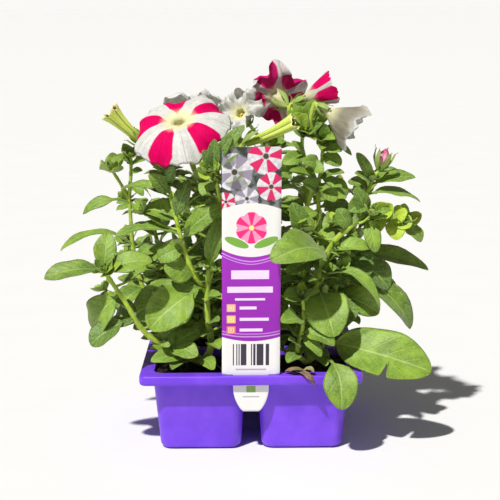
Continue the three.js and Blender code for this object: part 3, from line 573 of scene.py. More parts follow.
def makeLabel(material):
    half, tongue = label["width"] / 2, label["tongueWidth"] / 2
    foot, radius = pack["height"] + 0.3, label["cornerRadius"]
    levels = []
    for t in np.linspace(0, 1, 14):
        # the tongue narrows to a straight end
        z = mix(label["tipHeight"], label["taperHeight"], t)
        width = mix(label["tipWidth"] / 2, tongue, math.sin(t * math.pi / 2) ** 0.75)
        levels.append((z, width))
    levels += [(foot - 0.01, tongue), (foot, tongue), (foot + 0.02, half - 0.5), (foot + 0.5, half)]
    levels += [(z, half) for z in np.linspace(foot + 2, label["top"] - radius, 40)]
    for t in np.linspace(0, math.pi / 2, 6)[1:]:
        levels.append((label["top"] - radius * (1 - math.sin(t)), half - radius * (1 - math.cos(t))))
    thick, edge = label["thickness"] / 2, 0.12
    rings = []
    for z, w in levels:
        rise = max(0, (z - foot) / (label["top"] - foot))
        x = label["lean"] * max(0, z - foot)
        y = labelY - label["bow"] * math.sin(math.pi * rise) * rise
        # front to the right, the right edge, back to the left, the left edge
        front = np.linspace(-w + edge, w - edge, 13)
        back = np.linspace(w - edge, -w + edge, 13)
        xs = np.concatenate([front, [w, w], back, [-w, -w]])
        near, far = -thick + edge, thick - edge
        ys = np.concatenate([np.full(13, -thick), [near, far], np.full(13, thick), [far, near]])
        rings.append(np.stack([xs + x, ys + y, np.full(30, z)], 1))
    finished(solidOf("label_plate", rings, material), "plant_label")


def inBox(x, z, x0, x1, z0, z1):
    return (x > x0) * (x < x1) * (z > z0) * (z < z1)


def printedFlower(p, x, z, centre, radius, spin, petals=5):
    # masks of a flower seen from the front: all of it, its stripes and its eye
    dx, dz = x - centre[0], z - centre[1]
    distance = (dx * dx + dz * dz) ** 0.5 / radius
    turn = dx.math("ARCTAN2", dx, dz) * (petals / (2 * math.pi)) + spin
    lobe = abs(turn.fract() - 0.5) * 2
    whole = p.ramp(distance - 0.12 * (1 - (1 - lobe) ** 3), 0.88, 0.84)
    stripe = p.ramp(lobe, 0.56, 0.48) * p.ramp(distance, 0.16, 0.24)
    return whole, stripe, p.ramp(distance, 0.2, 0.12)


def labelPaint():
    p = Paint("printedLabel", {"Specular IOR Level": 0.5})
    x, _, z = p.xyz
    x = x - (z - pack["height"]).most(0) * label["lean"]
    side = abs(x) / (label["width"] / 2)
    dip = side * side
    # the picture at the top: striped flowers on a dark leafy ground
    picture = p.mix(p.ramp(p.noise(5, 4), 0.4, 0.62), *labelPrint["pictureGround"])
    shade = p.ramp(p.noise(3, 3), 0.3, 0.7)
    pale = p.mix(shade, *labelPrint["picturePetals"])
    for centre, radius, spin, striped in labelPrint["picture"]:
        whole, stripe, eye = printedFlower(p, x, z, centre, radius, spin)
        band = p.mix(stripe, pale, labelPrint["pictureStripes"][striped])
        band = p.mix(eye, band, labelPrint["pictureEye"])
        picture = p.mix(whole, picture, band)
    arch = labelPrint["arch"] + labelPrint["archRise"] * (1 - dip)
    panelTop = labelPrint["panelTop"] - labelPrint["panelDip"] * (1 - dip)
    panelLow = labelPrint["panelLow"] - labelPrint["panelLowDip"] * (1 - dip)
    # the white lens with one plain flower and two leaves
    colour = p.mix(z > arch, labelPrint["white"], picture)
    flower, radius, petals = (labelPrint[key] for key in ("flower", "flowerRadius", "flowerPetals"))
    whole, stripe, eye = printedFlower(p, x, z, flower, radius, 0.0, petals)
    leafX, leafZ = labelPrint["leafPlace"]
    for way in (-1, 1):
        dx, dz = (x - way * leafX) * 0.13, (z - leafZ - (x * way - leafX) * 0.35) * 0.36
        colour = p.mix(p.ramp(dx * dx + dz * dz, 1.05, 0.95), colour, labelPrint["leaf"])
    colour = p.mix(whole, colour, p.mix(stripe, labelPrint["pink"], labelPrint["pinkLight"]))
    colour = p.mix(eye, colour, labelPrint["cream"])
    # the purple panel with its lines, bars and squares
    panel = (z < panelTop) * (z > panelLow)
    purple = p.mix(p.ramp(z, 80, labelPrint["panelTop"]), labelPrint["purple"], labelPrint["purpleLight"])
    colour = p.mix(panel, colour, purple)
    for offset, width in labelPrint["lines"]:
        for edge, way in ((panelTop, -1), (panelLow, 1)):
            line = p.ramp(abs(z - edge - way * (offset + 0.9 * (1 - side))), width, width * 0.5)
            colour = p.mix(line * panel * 0.6, colour, labelPrint["lilac"])
    for bar in labelPrint["bars"]:
        colour = p.mix(inBox(x, z, *bar), colour, labelPrint["barLilac"])
    for level, tint in labelPrint["squares"]:
        square = (abs(x + 13) / 2.9).most(abs(z - level) / 2.6)
        colour = p.mix(p.ramp(square, 1.02, 0.96), colour, tint)
        ring = p.ramp(square, 0.66, 0.6) * p.ramp(abs(square - 0.32), 0.08, 0.14)
        colour = p.mix(ring, colour, labelPrint["squareCream"])
    # the white foot with upright bars of chance widths
    column = (x * labelPrint["strokesPerMillimetre"]).floor()
    chance = p.node("ShaderNodeTexWhiteNoise", {"noise_dimensions": "1D"}, {"W": column})
    colour = p.mix(inBox(x, z, *labelPrint["strokes"]) * (chance > 0.46), colour, labelPrint["ink"])
    for box, strength, ink in labelPrint["footMarks"]:
        colour = p.mix(inBox(x, z, *box) * strength, colour, labelPrint[ink])
    # the back is plain white with a few grey bars
    bands = inBox(x, z, *labelPrint["backBars"]) * ((z * 0.22).fract() < 0.34)
    plain = p.mix(bands * 0.35, labelPrint["white"], labelPrint["ink"])
    facing = p.split(p.node("ShaderNodeNewGeometry", output="Normal"))[1]
    colour = p.mix(facing > 0, colour, plain)
    return p.finish(colour, 0.34 + 0.1 * p.noise(14, 2), p.bump(p.noise(1.2, 2), 0.02, 0.4))


# A stem is written [points, radius at its foot, radius at its tip].
# A leaf is written [root, tip, width, its other shape], and grows from the nearest stem. With no face
# of its own it has its plant's. Tone runs from dark to young yellow green. Below 0 it darkens the whole
# leaf as painted shade for a leaf in deep shade, and -1 is the darkest.
# A growing tip is written [place, direction, count, length, width of its small leaves].
towardsViewer, flat = [0, -0.85, 0.5], [0, -0.25, 0.97]
toViewer, laidFlat = {"face": towardsViewer}, {"face": flat}
# a leaf in deep shade, with its shade painted into its green
inShade = {**toViewer, "tone": -1}
plants = {
    "front_left": {
        "face": [0, -0.6, 0.8],
        "stems": [
            [[[-32, -34, 53], [-27, -34, 65], [-29, -35, 85], [-29, -35, 104], [-27, -34, 121],
              [-24, -32, 138], [-20, -34, 154], [-20, -44, 170], [-22, -54, 183], [-23, -59, 193]], 2.6, 1.3],
            [[[-29, -35, 102], [-35, -36, 111], [-40, -38, 121], [-45, -38, 137], [-49, -37, 154],
              [-52, -36, 167], [-54, -36, 179], [-54, -33, 187]], 2, 1.2],
            [[[-32, -34, 53], [-40, -37, 57], [-49, -42, 63], [-58, -48, 70], [-67, -53, 77], [-74, -56, 86],
              [-80, -58, 98], [-87, -59, 110], [-95, -60, 123]], 2.3, 1.5],
            [[[-33, -33, 53], [-44, -22, 57], [-56, -12, 67], [-70, -8, 89], [-78, -6, 111], [-81, -6, 129],
              [-82, -6, 146], [-83, -6, 161], [-88, -6, 172], [-94, -6, 182]], 2.1, 1.1],
            [[[-83, -6, 159], [-82, -6, 171], [-81, -6, 181], [-81, -6, 193]], 1.5, 1.2]
        ],
        "leaves": [
            [[-95, -60, 123], [-133, -70, 121], 16],
            [[-95, -60, 123], [-93, -52, 147], 15, toViewer],
            [[-94, -60, 122], [-63, -63, 131], 18],
            [[-77, -57, 90], [-105, -66, 75], 20, {"petiole": 0.3, "tone": -1}],
            [[-86, -58, 108], [-107, -50, 79], 24, {"face": [-0.3, -0.8, 0.5]}],
            [[-32, -38, 57], [-66, -60, 63], 15],
            [[-54, -46, 67], [-35, -61, 66], 16],
            [[-52, -44, 67], [-34, -46, 80], 15],
            [[-60, -49, 72], [-46, -48, 84], 13],
            [[-31, -36, 106], [-68, -58, 84], 31, {"petiole": 0.25, "face": [-0.1, -0.8, 0.55]}],
            [[-30, -35, 107], [-81, -44, 89], 28, {"arch": 0.15, "face": towardsViewer}],
            [[-38, -38, 115], [-57, -47, 123], 19, toViewer],
            [[-46, -38, 140], [-17, -50, 166], 14, toViewer],
            [[-49, -37, 155], [-40, -40, 180], 11, inShade],
            [[-27, -34, 119], [-20, -41, 155], 12, toViewer],
            [[-29, -35, 78], [-21, -52, 87], 10],
            [[-27, -34, 65], [-21, -54, 70], 11],
            [[-28, -35, 95], [-21, -48, 105], 10],
            [[-47, -38, 142], [-90, -42, 144], 18, laidFlat],
            [[-49, -37, 151], [-71, -30, 160], 18],
            [[-81, -6, 131], [-131, -22, 132], 12, {**laidFlat, "arch": 0.2}],
            [[-83, -6, 160], [-116, -12, 154], 10, {"arch": 0.2, "petiole": 0.3}],
            [[-52, -36, 167], [-86, -33, 174], 12, laidFlat],
            [[-54, -36, 179], [-69, -42, 175], 8],
            [[-54, -36, 177], [-44, -48, 175], 8, {"tone": -1}],
            [[-54, -34, 183], [-65, -42, 193], 7, toViewer],
            [[-82, -6, 171], [-72, -14, 166], 7],
            [[-81, -6, 179], [-73, -10, 183], 6],
            [[-29, -34, 93], [-50, -12, 107], 18],
            [[-24, -32, 137], [-44, -10, 145], 16],
            [[-20, -33, 152], [-5, -14, 161], 14],
            [[-28, -34, 113], [-6, -20, 121], 14],
            [[-74, -8, 99], [-92, -20, 87], 15],
            [[-60, -12, 73], [-80, -28, 77], 15],
            [[-80, -6, 121], [-62, -18, 129], 14],
            [[-50, -42, 62], [-66, -50, 76], 15, toViewer],
            [[-40, -38, 57], [-52, -62, 57], 13, laidFlat],
            [[-33, -38, 57], [-25, -60, 58], 12, laidFlat],
            [[-74, -56, 86], [-92, -40, 90], 22, {"face": [-0.2, -0.7, 0.6], "tone": -1}],
            [[-44, -38, 134], [-62, -44, 128], 16, toViewer],
            [[-53, -36, 170], [-66, -44, 184], 11, toViewer],
            [[-54, -36, 176], [-49, -46, 190], 8, inShade],
            [[-81, -6, 184], [-71, -12, 190], 8],
            [[-81, -6, 186], [-90, -12, 193], 8],
            [[-22, -55, 184], [-33, -65, 190], 9, inShade],
            [[-22, -56, 187], [-29, -66, 202], 9, inShade],
            [[-22, -57, 190], [-22, -67, 209], 9, inShade],
            [[-23, -58, 192], [-11, -67, 211], 9, inShade],
            [[-23, -58, 192], [-3, -64, 218], 9, toViewer],
            [[-22, -56, 188], [-8, -68, 201], 8, inShade],
            [[-22, -56, 185], [-4, -71, 189], 11, {**laidFlat, "arch": -0.25}],
            [[-22, -52, 181], [-31, -62, 173], 12, laidFlat],
            [[-21, -50, 178], [-6, -60, 182], 12, laidFlat]
        ],
        "tips": [
            [[-95, -60, 122], [-0.1, -0.6, 0.8], 6, 14, 9],
            [[-25, -60, 189], [-0.05, -0.9, 0.4], 5, 10, 8],
            [[-94, -6, 180], [0, -0.2, 1], 7, 15, 9],
            [[-81, -6, 190], [0, -0.3, 1], 4, 10, 7]
        ]
    },
    "front_right": {
        "face": [0, -0.6, 0.8],
        "stems": [
            [[[38, -34, 53], [41, -32, 65], [43, -31, 84], [45, -30, 101], [48, -30, 115], [52, -34, 129],
              [58, -36, 139], [66, -35, 146], [73, -30, 151], [79, -25, 152]], 2.7, 1.7],
            [[[79, -25, 151], [79, -24, 159], [79, -22, 166], [82, -21, 174], [85, -20, 181]], 1.7, 1.3],
            [[[43, -31, 83], [44, -23, 101], [46, -18, 120], [47, -16, 137], [47, -12, 169], [49, -10, 183],
              [50, -10, 196], [51, -10, 205]], 2, 1.3],
            [[[41, -32, 65], [37, -24, 94], [36, -18, 121], [37, -16, 135], [38, -14, 153], [41, -13, 163],
              [42, -12, 173], [39, -10, 185], [36, -8, 198], [37, -8, 213]], 2, 1.3],
            [[[38, -34, 53], [48, -26, 61], [54, -20, 77], [58, -18, 100], [60, -18, 113], [65, -17, 124],
              [70, -12, 137], [74, -8, 149]], 2.6, 1.5],
            [[[38, -35, 53], [33, -48, 60], [31, -52, 69], [34, -54, 80], [35, -54, 93],
              [34, -54, 104]], 2, 1.1],
            [[[78, -25, 151], [88, -20, 153], [98, -18, 149], [105, -18, 144]], 1.5, 1.1]
        ],
        "leaves": [
            [[51, -32, 128], [13, -78, 133], 29, {"via": [41, -71, 147], "face": [0, -0.7, 0.7]}],
            [[44, -31, 103], [55, -62, 78], 31, {**toViewer, "petiole": 0.1, "arch": 0.16}],
            [[44, -31, 68], [120, -57, 53], 36, {"face": [0, -0.8, 0.6], "petiole": 0.22, "arch": 0.06,
                                                   "tear": [0.66, 0.72, 1]}],
            [[41, -37, 59], [58, -87, 36], 23, {"via": [62, -77, 72], "petiole": 0.47}],
            [[66, -17, 113], [116, -27, 75], 20, {"arch": 0.14}],
            [[64, -17, 123], [96, -30, 104], 24, {"tone": -0.6}],
            [[48, -31, 110], [89, -54, 97], 11, {**laidFlat, "arch": 0.28}],
            [[53, -31, 130], [81, -37, 133], 12],
            [[73, -10, 147], [49, -25, 146], 18],
            [[78, -25, 152], [70, -33, 173], 11, toViewer],
            [[49, -10, 176], [68, -15, 166], 12],
            [[48, -11, 173], [58, -23, 162], 12, toViewer],
            [[79, -22, 166], [116, -23, 163], 13, laidFlat],
            [[80, -24, 153], [94, -30, 157], 13, toViewer],
            [[103, -18, 145], [118, -20, 134], 13],
            [[79, -25, 151], [84, -40, 130], 12, toViewer],
            [[83, -21, 175], [72, -22, 195], 8, toViewer],
            [[82, -21, 173], [71, -28, 183], 9],
            [[84, -20, 177], [101, -23, 183], 8],
            [[82, -21, 172], [112, -20, 178], 11],
            [[80, -22, 169], [67, -14, 175], 10],
            [[48, -11, 173], [27, -21, 183], 9],
            [[48, -11, 175], [64, -18, 181], 8],
            [[37, -16, 136], [29, -27, 162], 14, toViewer],
            [[35, -54, 87], [20, -68, 90], 15],
            [[34, -54, 102], [22, -62, 105], 14],
            [[32, -52, 67], [25, -63, 77], 9],
            [[34, -53, 77], [47, -67, 67], 9],
            [[34, -54, 79], [56, -64, 74], 13],
            [[35, -54, 101], [44, -64, 111], 9],
            [[51, -10, 201], [70, -15, 193], 6],
            [[36, -8, 193], [26, -13, 189], 7],
            [[36, -8, 191], [29, -11, 202], 7],
            [[36, -8, 189], [24, -16, 181], 8],
            [[50, -10, 193], [62, -18, 199], 8],
            [[47, -14, 153], [30, -26, 149], 12],
            [[46, -18, 121], [24, -30, 115], 14],
            [[45, -30, 99], [22, -34, 95], 15],
            [[56, -19, 89], [84, -10, 95], 17],
            [[59, -18, 107], [82, -8, 125], 16],
            [[47, -14, 155], [70, -6, 153], 14],
            [[38, -14, 153], [20, -8, 161], 12],
            [[58, -19, 98], [88, -35, 88], 20, toViewer],
            [[54, -20, 77], [72, -44, 92], 22, {**toViewer, "tone": -0.6}],
            [[60, -18, 113], [82, -34, 116], 22, {"face": [0, -0.7, 0.7], "tone": -1}],
            [[41, -32, 66], [24, -56, 60], 14, laidFlat],
            [[40, -34, 60], [50, -62, 60], 13, laidFlat],
            [[33, -50, 62], [24, -66, 64], 10],
            [[66, -35, 146], [58, -40, 160], 12, toViewer],
            [[79, -23, 160], [66, -34, 158], 13, toViewer],
            [[47, -15, 140], [56, -32, 134], 15, toViewer],
            [[47, -12, 168], [36, -24, 176], 12, toViewer],
            [[47, -12, 165], [62, -24, 172], 12, laidFlat],
            [[36, -8, 205], [26, -18, 223], 10, toViewer],
            [[37, -8, 208], [31, -16, 229], 10, {**toViewer, "tone": 0.8}],
            [[37, -8, 211], [37, -16, 231], 10, {**toViewer, "tone": 0.7}],
            [[37, -8, 211], [44, -18, 230], 10, {**toViewer, "tone": 0.75}],
            [[37, -8, 209], [51, -18, 226], 10, toViewer],
            [[37, -8, 207], [53, -20, 219], 10, toViewer],
            [[36, -8, 205], [48, -22, 214], 10, toViewer],
            [[36, -8, 204], [28, -21, 214], 11, toViewer],
            [[37, -8, 210], [38, -25, 221], 10, {**toViewer, "tone": 0.9}],
            [[37, -8, 209], [30, -22, 221], 9, {**toViewer, "tone": 0.95}],
            [[36, -8, 202], [44, -22, 205], 10, laidFlat],
            [[51, -10, 201], [51, -20, 214], 9, toViewer],
            [[51, -10, 202], [59, -20, 213], 9, {**toViewer, "tone": 0.7}],
            [[50, -10, 200], [66, -20, 205], 10, toViewer],
            [[50, -10, 197], [62, -22, 196], 10, toViewer],
            [[50, -10, 198], [48, -22, 198], 10, toViewer],
            [[51, -10, 201], [56, -26, 206], 10, {**toViewer, "tone": 0.85}],
            [[50, -10, 192], [62, -18, 186], 11, toViewer],
            [[88, -20, 152], [87, -32, 162], 13, {**toViewer, "tone": 0.97}],
            [[92, -19, 151], [95, -30, 161], 13, {**toViewer, "tone": 0.95}],
            [[98, -18, 149], [105, -28, 156], 13, {**toViewer, "tone": 1}],
            [[101, -18, 147], [108, -28, 145], 13, {**toViewer, "tone": 0.95}],
            [[97, -18, 149], [99, -31, 137], 14, {**toViewer, "tone": 0.98}],
            [[86, -21, 152], [85, -35, 143], 13, {**toViewer, "tone": 0.9}],
            [[90, -20, 152], [91, -37, 153], 12, {**toViewer, "tone": 1}],
            [[49, -10, 184], [36, -20, 190], 11, toViewer],
            [[36, -9, 190], [22, -18, 188], 11, toViewer],
            [[38, -10, 184], [50, -20, 182], 11, toViewer]
        ],
        "tips": [
            [[84, -20, 175], [-0.2, -0.2, 1], 5, 11, 7],
            [[51, -10, 203], [-0.1, -0.5, 0.8], 6, 11, 8],
            [[37, -8, 211], [0.2, -0.7, 0.7], 7, 14, 9],
            [[74, -8, 148], [0.2, 0, 1], 4, 14, 8],
            [[34, -54, 103], [0, -0.2, 1], 3, 10, 6],
            [[104, -18, 145], [0.4, -0.4, 0.8], 6, 13, 9]
        ]
    },
    "back_left": {
        "face": [0, 0.2, 1],
        "stems": [
            [[[-34, 34, 53], [-46, 32, 73], [-60, 30, 103], [-68, 30, 131], [-70, 32, 155]], 2.4, 1.2],
            [[[-34, 34, 53], [-36, 46, 79], [-38, 54, 113], [-38, 58, 148], [-40, 60, 175]], 2.4, 1.2],
            [[[-34, 34, 53], [-24, 24, 81], [-18, 20, 115], [-16, 20, 153], [-20, 22, 185],
              [-26, 22, 197]], 2.5, 1.3],
            [[[-34, 35, 53], [-50, 48, 69], [-66, 60, 87], [-76, 66, 107]], 2, 1.2],
            [[[-34, 34, 53], [-22, 50, 71], [-14, 62, 91], [-12, 66, 115]], 2, 1.2]
        ],
        "leaves": [
            [[-70, 63, 95], [-58, 86, 81], 16, {"face": [0, 0.6, 0.8]}]
        ],
        "tips": [
            [[-70, 32, 154], [0, 0, 1], 5, 13, 7],
            [[-76, 66, 106], [-0.3, 0.3, 0.9], 5, 13, 7],
            [[-12, 66, 114], [0, 0.2, 1], 4, 12, 7]
        ],
        "rule": {"first": 0.1, "spacing": 23, "longest": 42, "shortest": 22, "reach": 84, "seed": 11,
                 "inner": 7, "back": 84}
    },
    "back_right": {
        "face": [0, 0.2, 1],
        "stems": [
            [[[34, 34, 53], [48, 32, 75], [62, 30, 103], [72, 28, 133], [78, 28, 157]], 2.4, 1.2],
            [[[34, 34, 53], [38, 46, 79], [42, 54, 113], [42, 58, 148], [40, 60, 171]], 2.4, 1.2],
            [[[34, 34, 53], [24, 26, 83], [18, 24, 119], [14, 26, 157], [12, 28, 187],
              [10, 30, 199]], 2.5, 1.3],
            [[[34, 35, 53], [52, 46, 69], [70, 54, 85], [84, 60, 103]], 2, 1.2],
            [[[34, 34, 53], [24, 50, 71], [18, 62, 93], [18, 66, 117]], 2, 1.2]
        ],
        "leaves": [
            [[76, 57, 93], [112, 70, 76], 18, {"arch": 0.15}],
            [[68, 29, 117], [131, 24, 109], 15, {"arch": 0.06, "face": [0, -0.6, 0.8]}],
            [[40, 56, 103], [50, 86, 95], 16, {"face": [0, 0.6, 0.8]}]
        ],
        "tips": [
            [[78, 28, 156], [0.1, 0, 1], 5, 13, 7],
            [[40, 60, 170], [0, 0.1, 1], 5, 12, 7],
            [[84, 60, 102], [0.3, 0.3, 0.9], 5, 13, 7],
            [[18, 66, 116], [0, 0.2, 1], 4, 12, 7]
        ],
        "rule": {"first": 0.1, "spacing": 23, "longest": 42, "shortest": 22, "reach": 96, "seed": 47,
                 "inner": 7, "back": 84}
    }
}
# A corolla has a tube, a flat face of some radius that droops and sags, and a spin about its axis.
# One that points its lobes forward has "forward". Crumple, notch and ruffle bend its edge.
blooms = {
    "bloom_star": {
        "plant": "front_left", "pedicel": [[-20, -36, 157], [-28, -30, 167], [-36, -24, 181]],
        "base": [-41, -27, 196], "axis": [-0.18, -0.5, 0.85], "tube": 26, "radius": 32, "droop": 11,
        "sag": 6, "spin": -25, "ruffle": 1.3, "look": "star"
    },
    "bloom_turned": {
        "plant": "front_right", "pedicel": [[37, -8, 210], [34, -6, 218]],
        "base": [26, 3, 224.5], "axis": [-0.38, 0.88, 0.3], "tube": 17, "radius": 21.5, "droop": 5,
        "spin": 32, "crumple": 2, "notch": 0.2, "look": "star"
    },
    "bloom_half_open": {
        "plant": "front_right", "pedicel": [[37, -8, 209], [30, -12, 214], [27, -13, 222]],
        "base": [32, -12, 228], "axis": [0.92, 0.03, 0.36], "tube": 8, "radius": 11, "forward": 16,
        "droop": 2, "spin": 40, "crumple": 0.35, "ruffle": 0.25, "look": "star"
    },
    "bloom_white": {
        "plant": "front_right", "pedicel": [[50, -10, 199], [45, -15, 206], [41, -21, 216]],
        "base": [47, -23, 225.5], "axis": [0.85, -0.15, -0.5], "tube": 8, "radius": 15.5, "forward": 21,
        "droop": 6, "spin": 10, "crumple": 0.7, "ruffle": 0.7, "look": "white"
    },
    "bloom_back_left": {
        "plant": "back_left", "pedicel": [[-26, 22, 195], [-30, 22, 203]],
        "base": [-35.5, 19, 206.5], "axis": [-0.1, 0.4, 0.9], "tube": 18, "radius": 23, "droop": 6,
        "spin": 26, "crumple": 1.4, "notch": 0.65, "look": "white"
    },
    "bloom_back_middle": {
        "plant": "back_left", "pedicel": [[-40, 60, 173], [-42, 60, 181]],
        "base": [-46, 61, 183], "axis": [-0.35, 0.5, 0.8], "tube": 20, "radius": 24, "droop": 9,
        "spin": 30, "crumple": 0.5, "look": "star"
    },
    "bloom_pale": {
        "plant": "back_right", "pedicel": [[10, 30, 197], [3, 26, 206]],
        "base": [-1, 13, 212.5], "axis": [-0.35, -0.75, 0.5], "tube": 14, "radius": 16.5, "droop": 0,
        "spin": -20, "crumple": 2, "notch": 0.3, "look": "white"
    }
}
# A furled trumpet or bud runs from its base to its end, with its radii at even steps.
rods = {
    "trumpet_left": {
        "plant": "front_left", "pedicel": [[-54, -34, 185], [-62, -24, 193]],
        "base": [-70, -13, 201], "end": [-93, -16, 223], "radii": [2.1, 2.9, 3.6, 4.6, 6.2]
    },
    "trumpet_right": {
        "plant": "front_left", "pedicel": [[-22, -53, 182], [-14, -53, 185], [-8, -46, 190], [-5, -41, 196]],
        "base": [-2, -38.5, 203], "end": [29, -44, 218], "radii": [2.1, 2.8, 3.3, 3.9, 4.8]
    },
    "bud_pink": {
        "plant": "front_right", "pedicel": [[85, -20, 179], [87, -20, 182]],
        "base": [88, -20, 185], "end": [92, -21, 197], "radii": [2.1, 3.4, 3.8, 2.8, 1]
    },
    "bud_back": {
        "plant": "back_left", "pedicel": [[-12, 66, 113], [-9, 67, 121]],
        "base": [-7, 69, 129], "end": [-4, 73, 148], "radii": [2.1, 2.6, 3.2, 3.6, 1.4]
    }
}
for rod in rods.values():
    rod["axis"] = np.subtract(rod["end"], rod["base"])
flowers = {**blooms, **rods}


def keeper(signs):
    # bends a leaf to its own side of a wavy border between the plants, and over the rim
    margin, wave, waveLength = 0.8, 5, 11
    halfX, halfY, top = pack["width"] / 2 + 1.5, pack["depth"] / 2 + 1.5, pack["height"] + 1.5

    def keep(points):
        q = points.copy()
        for axis in (0, 1):
            border = wave * np.sin(q[..., 2] / waveLength + axis) * np.sin(q[..., 1 - axis] / waveLength + 1)
            own = (q[..., axis] - border) * signs[axis]
            q[..., axis] = np.where(own < margin, margin - (margin - own) * 0.02, own) * signs[axis] + border
        over = (np.abs(q[..., 0]) < halfX) & (np.abs(q[..., 1]) < halfY) & (q[..., 2] < top)
        q[..., 2] = np.where(over, top + (q[..., 2] - top) * 0.03, q[..., 2])
        return q

    return keep


def ruledLeaves(plant, signs):
    # the back plants' leaves: one every so often up each stem, a golden angle apart
    rule = plant["rule"]
    leaves = []
    for order, (points, _, _) in enumerate(plant["stems"]):
        path = throughPoints(points, 400)
        run = runAlong(path)
        count = int(run[-1] * (1 - rule["first"]) / rule["spacing"])
        for i in range(count):
            along = rule["first"] + (i + 0.5) / count * (1 - rule["first"])
            chance = draw(rule["seed"] + order * 17 + i)
            turn = (i + order * 2.3) * goldenAngle + chance
            size = mix(rule["longest"], rule["shortest"], along) * (0.85 + 0.3 * chance)
            root = pointAlong(path, run, along)
            slope = mix(-0.35, 0.45, draw(rule["seed"] + order * 5 + i * 3))
            tip = root + np.array([math.cos(turn), math.sin(turn), slope]) * size
            tip[0] = signs[0] * np.clip(tip[0] * signs[0], rule["inner"], rule["reach"])
            tip[1] = signs[1] * np.clip(tip[1] * signs[1], rule["inner"], rule["back"])
            tip[2] = max(tip[2], pack["height"] + 8)
            leaves.append([root, tip, size * 0.5])
    return leaves


whorlTiers = ((1, 1), (0.75, 0.7), (0.45, 0.45))    # size, and how far each tier opens


def whorl(skin, tip, seed, keep, tiers=whorlTiers, lengthwise=10, crosswise=6):
    # small leaves round a growing tip
    place, direction, count, length, width = tip
    axes = flowerAxes(direction)
    root = np.asarray(place) + axes[0] * 1.0
    for tier, (scale, opening) in enumerate(tiers):
        for i in range(count):
            turn = (i + 0.5 + tier * 0.4) / count * 2 * math.pi
            spread = (0.45 + 0.45 * draw(seed + i + tier * 13)) * opening
            size = length * (0.75 + 0.4 * draw(seed + i * 7 + tier)) * scale
            end = around(root, axes, size * spread, turn, size * (1 - 0.5 * spread))
            shape = {"root": root, "tip": end, "width": width * size / length * 1.1, "face": axes[0],
                     "arch": -0.12, "phase": i * 1.7, "petiole": 0.1}
            tone = 0.7 + 0.3 * draw(seed + i + tier) * (1 - 0.3 * tier)
            blade(skin, shape, keep, lengthwise, crosswise, tone)


# Side shoots fill each plant out. Lengths and leaves shrink from the foot of a stem to its top, and a
# bare stem, listed by its place in the plant, carries none above a height. The fillers are the small
# leaves between them, with sizes in metres, as their Geometry Nodes take them.
frontShoots = {"spacing": 17, "long": 30, "short": 14, "leaf": 21, "y": (3, 36)}
backShoots = {"spacing": 15, "long": 38, "short": 18, "leaf": 26, "y": (3, 82)}
shoots = {
    "front_left": {**frontShoots, "reach": 104, "top": 182, "bare": {3: 104, 4: 104}},
    "front_right": {**frontShoots, "reach": 112, "top": 190, "bare": {1: 150, 2: 126, 3: 126, 6: 100}},
    "back_left": {**backShoots, "reach": 96, "top": 192, "bare": {}},
    "back_right": {**backShoots, "reach": 112, "top": 192, "bare": {}}
}
fillerSpan = {"High": 0.2, "Front": -0.05}
frontFillers = {**fillerSpan, "Low": 0.062, "LowSize": 0.018, "HighSize": 0.009}
backFillers = {**fillerSpan, "Low": 0.066, "LowSize": 0.03, "HighSize": 0.016}
fillers = {
    "front_left": {**frontFillers, "Spacing": 0.009},
    "front_right": {**frontFillers, "Spacing": 0.008},
    "back_left": {**backFillers, "Spacing": 0.0055},
    "back_right": {**backFillers, "Spacing": 0.0055}
}


def sideShoots(name, paths, seed, stems, leaves):
    # twigs all round the stems, each with five leaves and a small whorl at its end
    rule, signs = shoots[name], quadrants[name]
    keep = keeper(signs)

    def within(point):
        x = signs[0] * np.clip(point[0] * signs[0], 3, rule["reach"])
        y = signs[1] * np.clip(point[1] * signs[1], *rule["y"])
        return np.array([x, y, np.clip(point[2], pack["height"] + 6, rule["top"] + 8)])

    for order, path in enumerate(paths):
        run = runAlong(path)
        count = int(run[-1] / rule["spacing"])
        for i in range(count):
            share = 0.1 + 0.86 * (i + 0.5) / count
            root = pointAlong(path, run, share)
            if root[2] > rule["bare"].get(order, rule["top"]):
                continue
            chance = draw(seed + order * 31 + i)
            turn = (i + order * 1.7) * goldenAngle + chance
            length = mix(rule["long"], rule["short"], share) * (0.8 + 0.4 * chance)
            out = np.array([math.cos(turn), math.sin(turn), 0.45])
            end = within(root + out * length)
            twig = throughPoints([root, (root + end) / 2 - [0, 0, 2], end], 12)
            tube(stems, twig, np.linspace(1.0, 0.6, 12), 6, 0.6)
            for k in range(5):
                at = twig[3 + 2 * k] if k < 4 else end
                chance = draw(seed + order * 13 + i * 5 + k)
                spin = turn + (-1) ** k * (1.1 - 0.15 * k)
                size = rule["leaf"] * (1 - 0.11 * k) * (0.8 + 0.45 * chance) * (1.1 - 0.35 * share)
                tip = within(at + np.array([math.cos(spin), math.sin(spin), 0.55 * chance - 0.15]) * size)
                shape = {"root": at, "tip": tip, "width": size * 0.52, "face": flat, "phase": chance * 6,
                         "petiole": 0.16}
                if np.linalg.norm(tip - at) > size * 0.5:
                    blade(leaves, shape, keep, 11, 6, chance * 0.8)
            tip = (end, out + [0, 0, 0.8], 4, rule["leaf"] * 0.5, rule["leaf"] * 0.3)
            whorl(leaves, tip, seed + i, keep, whorlTiers[:2], 8, 4)


stemShape = {
    "sides": 10,
    "slim": 0.92,        # share of the CAD stem's radius between the knots
    "knot": 0.16,        # swelling at a knot, as a share of the radius
    "knotLength": 0.12   # share of the way from knot to knot
}
calyx = {
    "sepals": 5, "length": 13, "spread": 7.5, "width": 3.8, "foot": 1.6, "curl": -0.05,
    "closed": 0.6        # share of the size under a bloom with its lobes forward
}
pedicelShape = {"steps": 40, "at": [0, 0.85, 1], "radii": [1.35, 1.15, 2.6]}


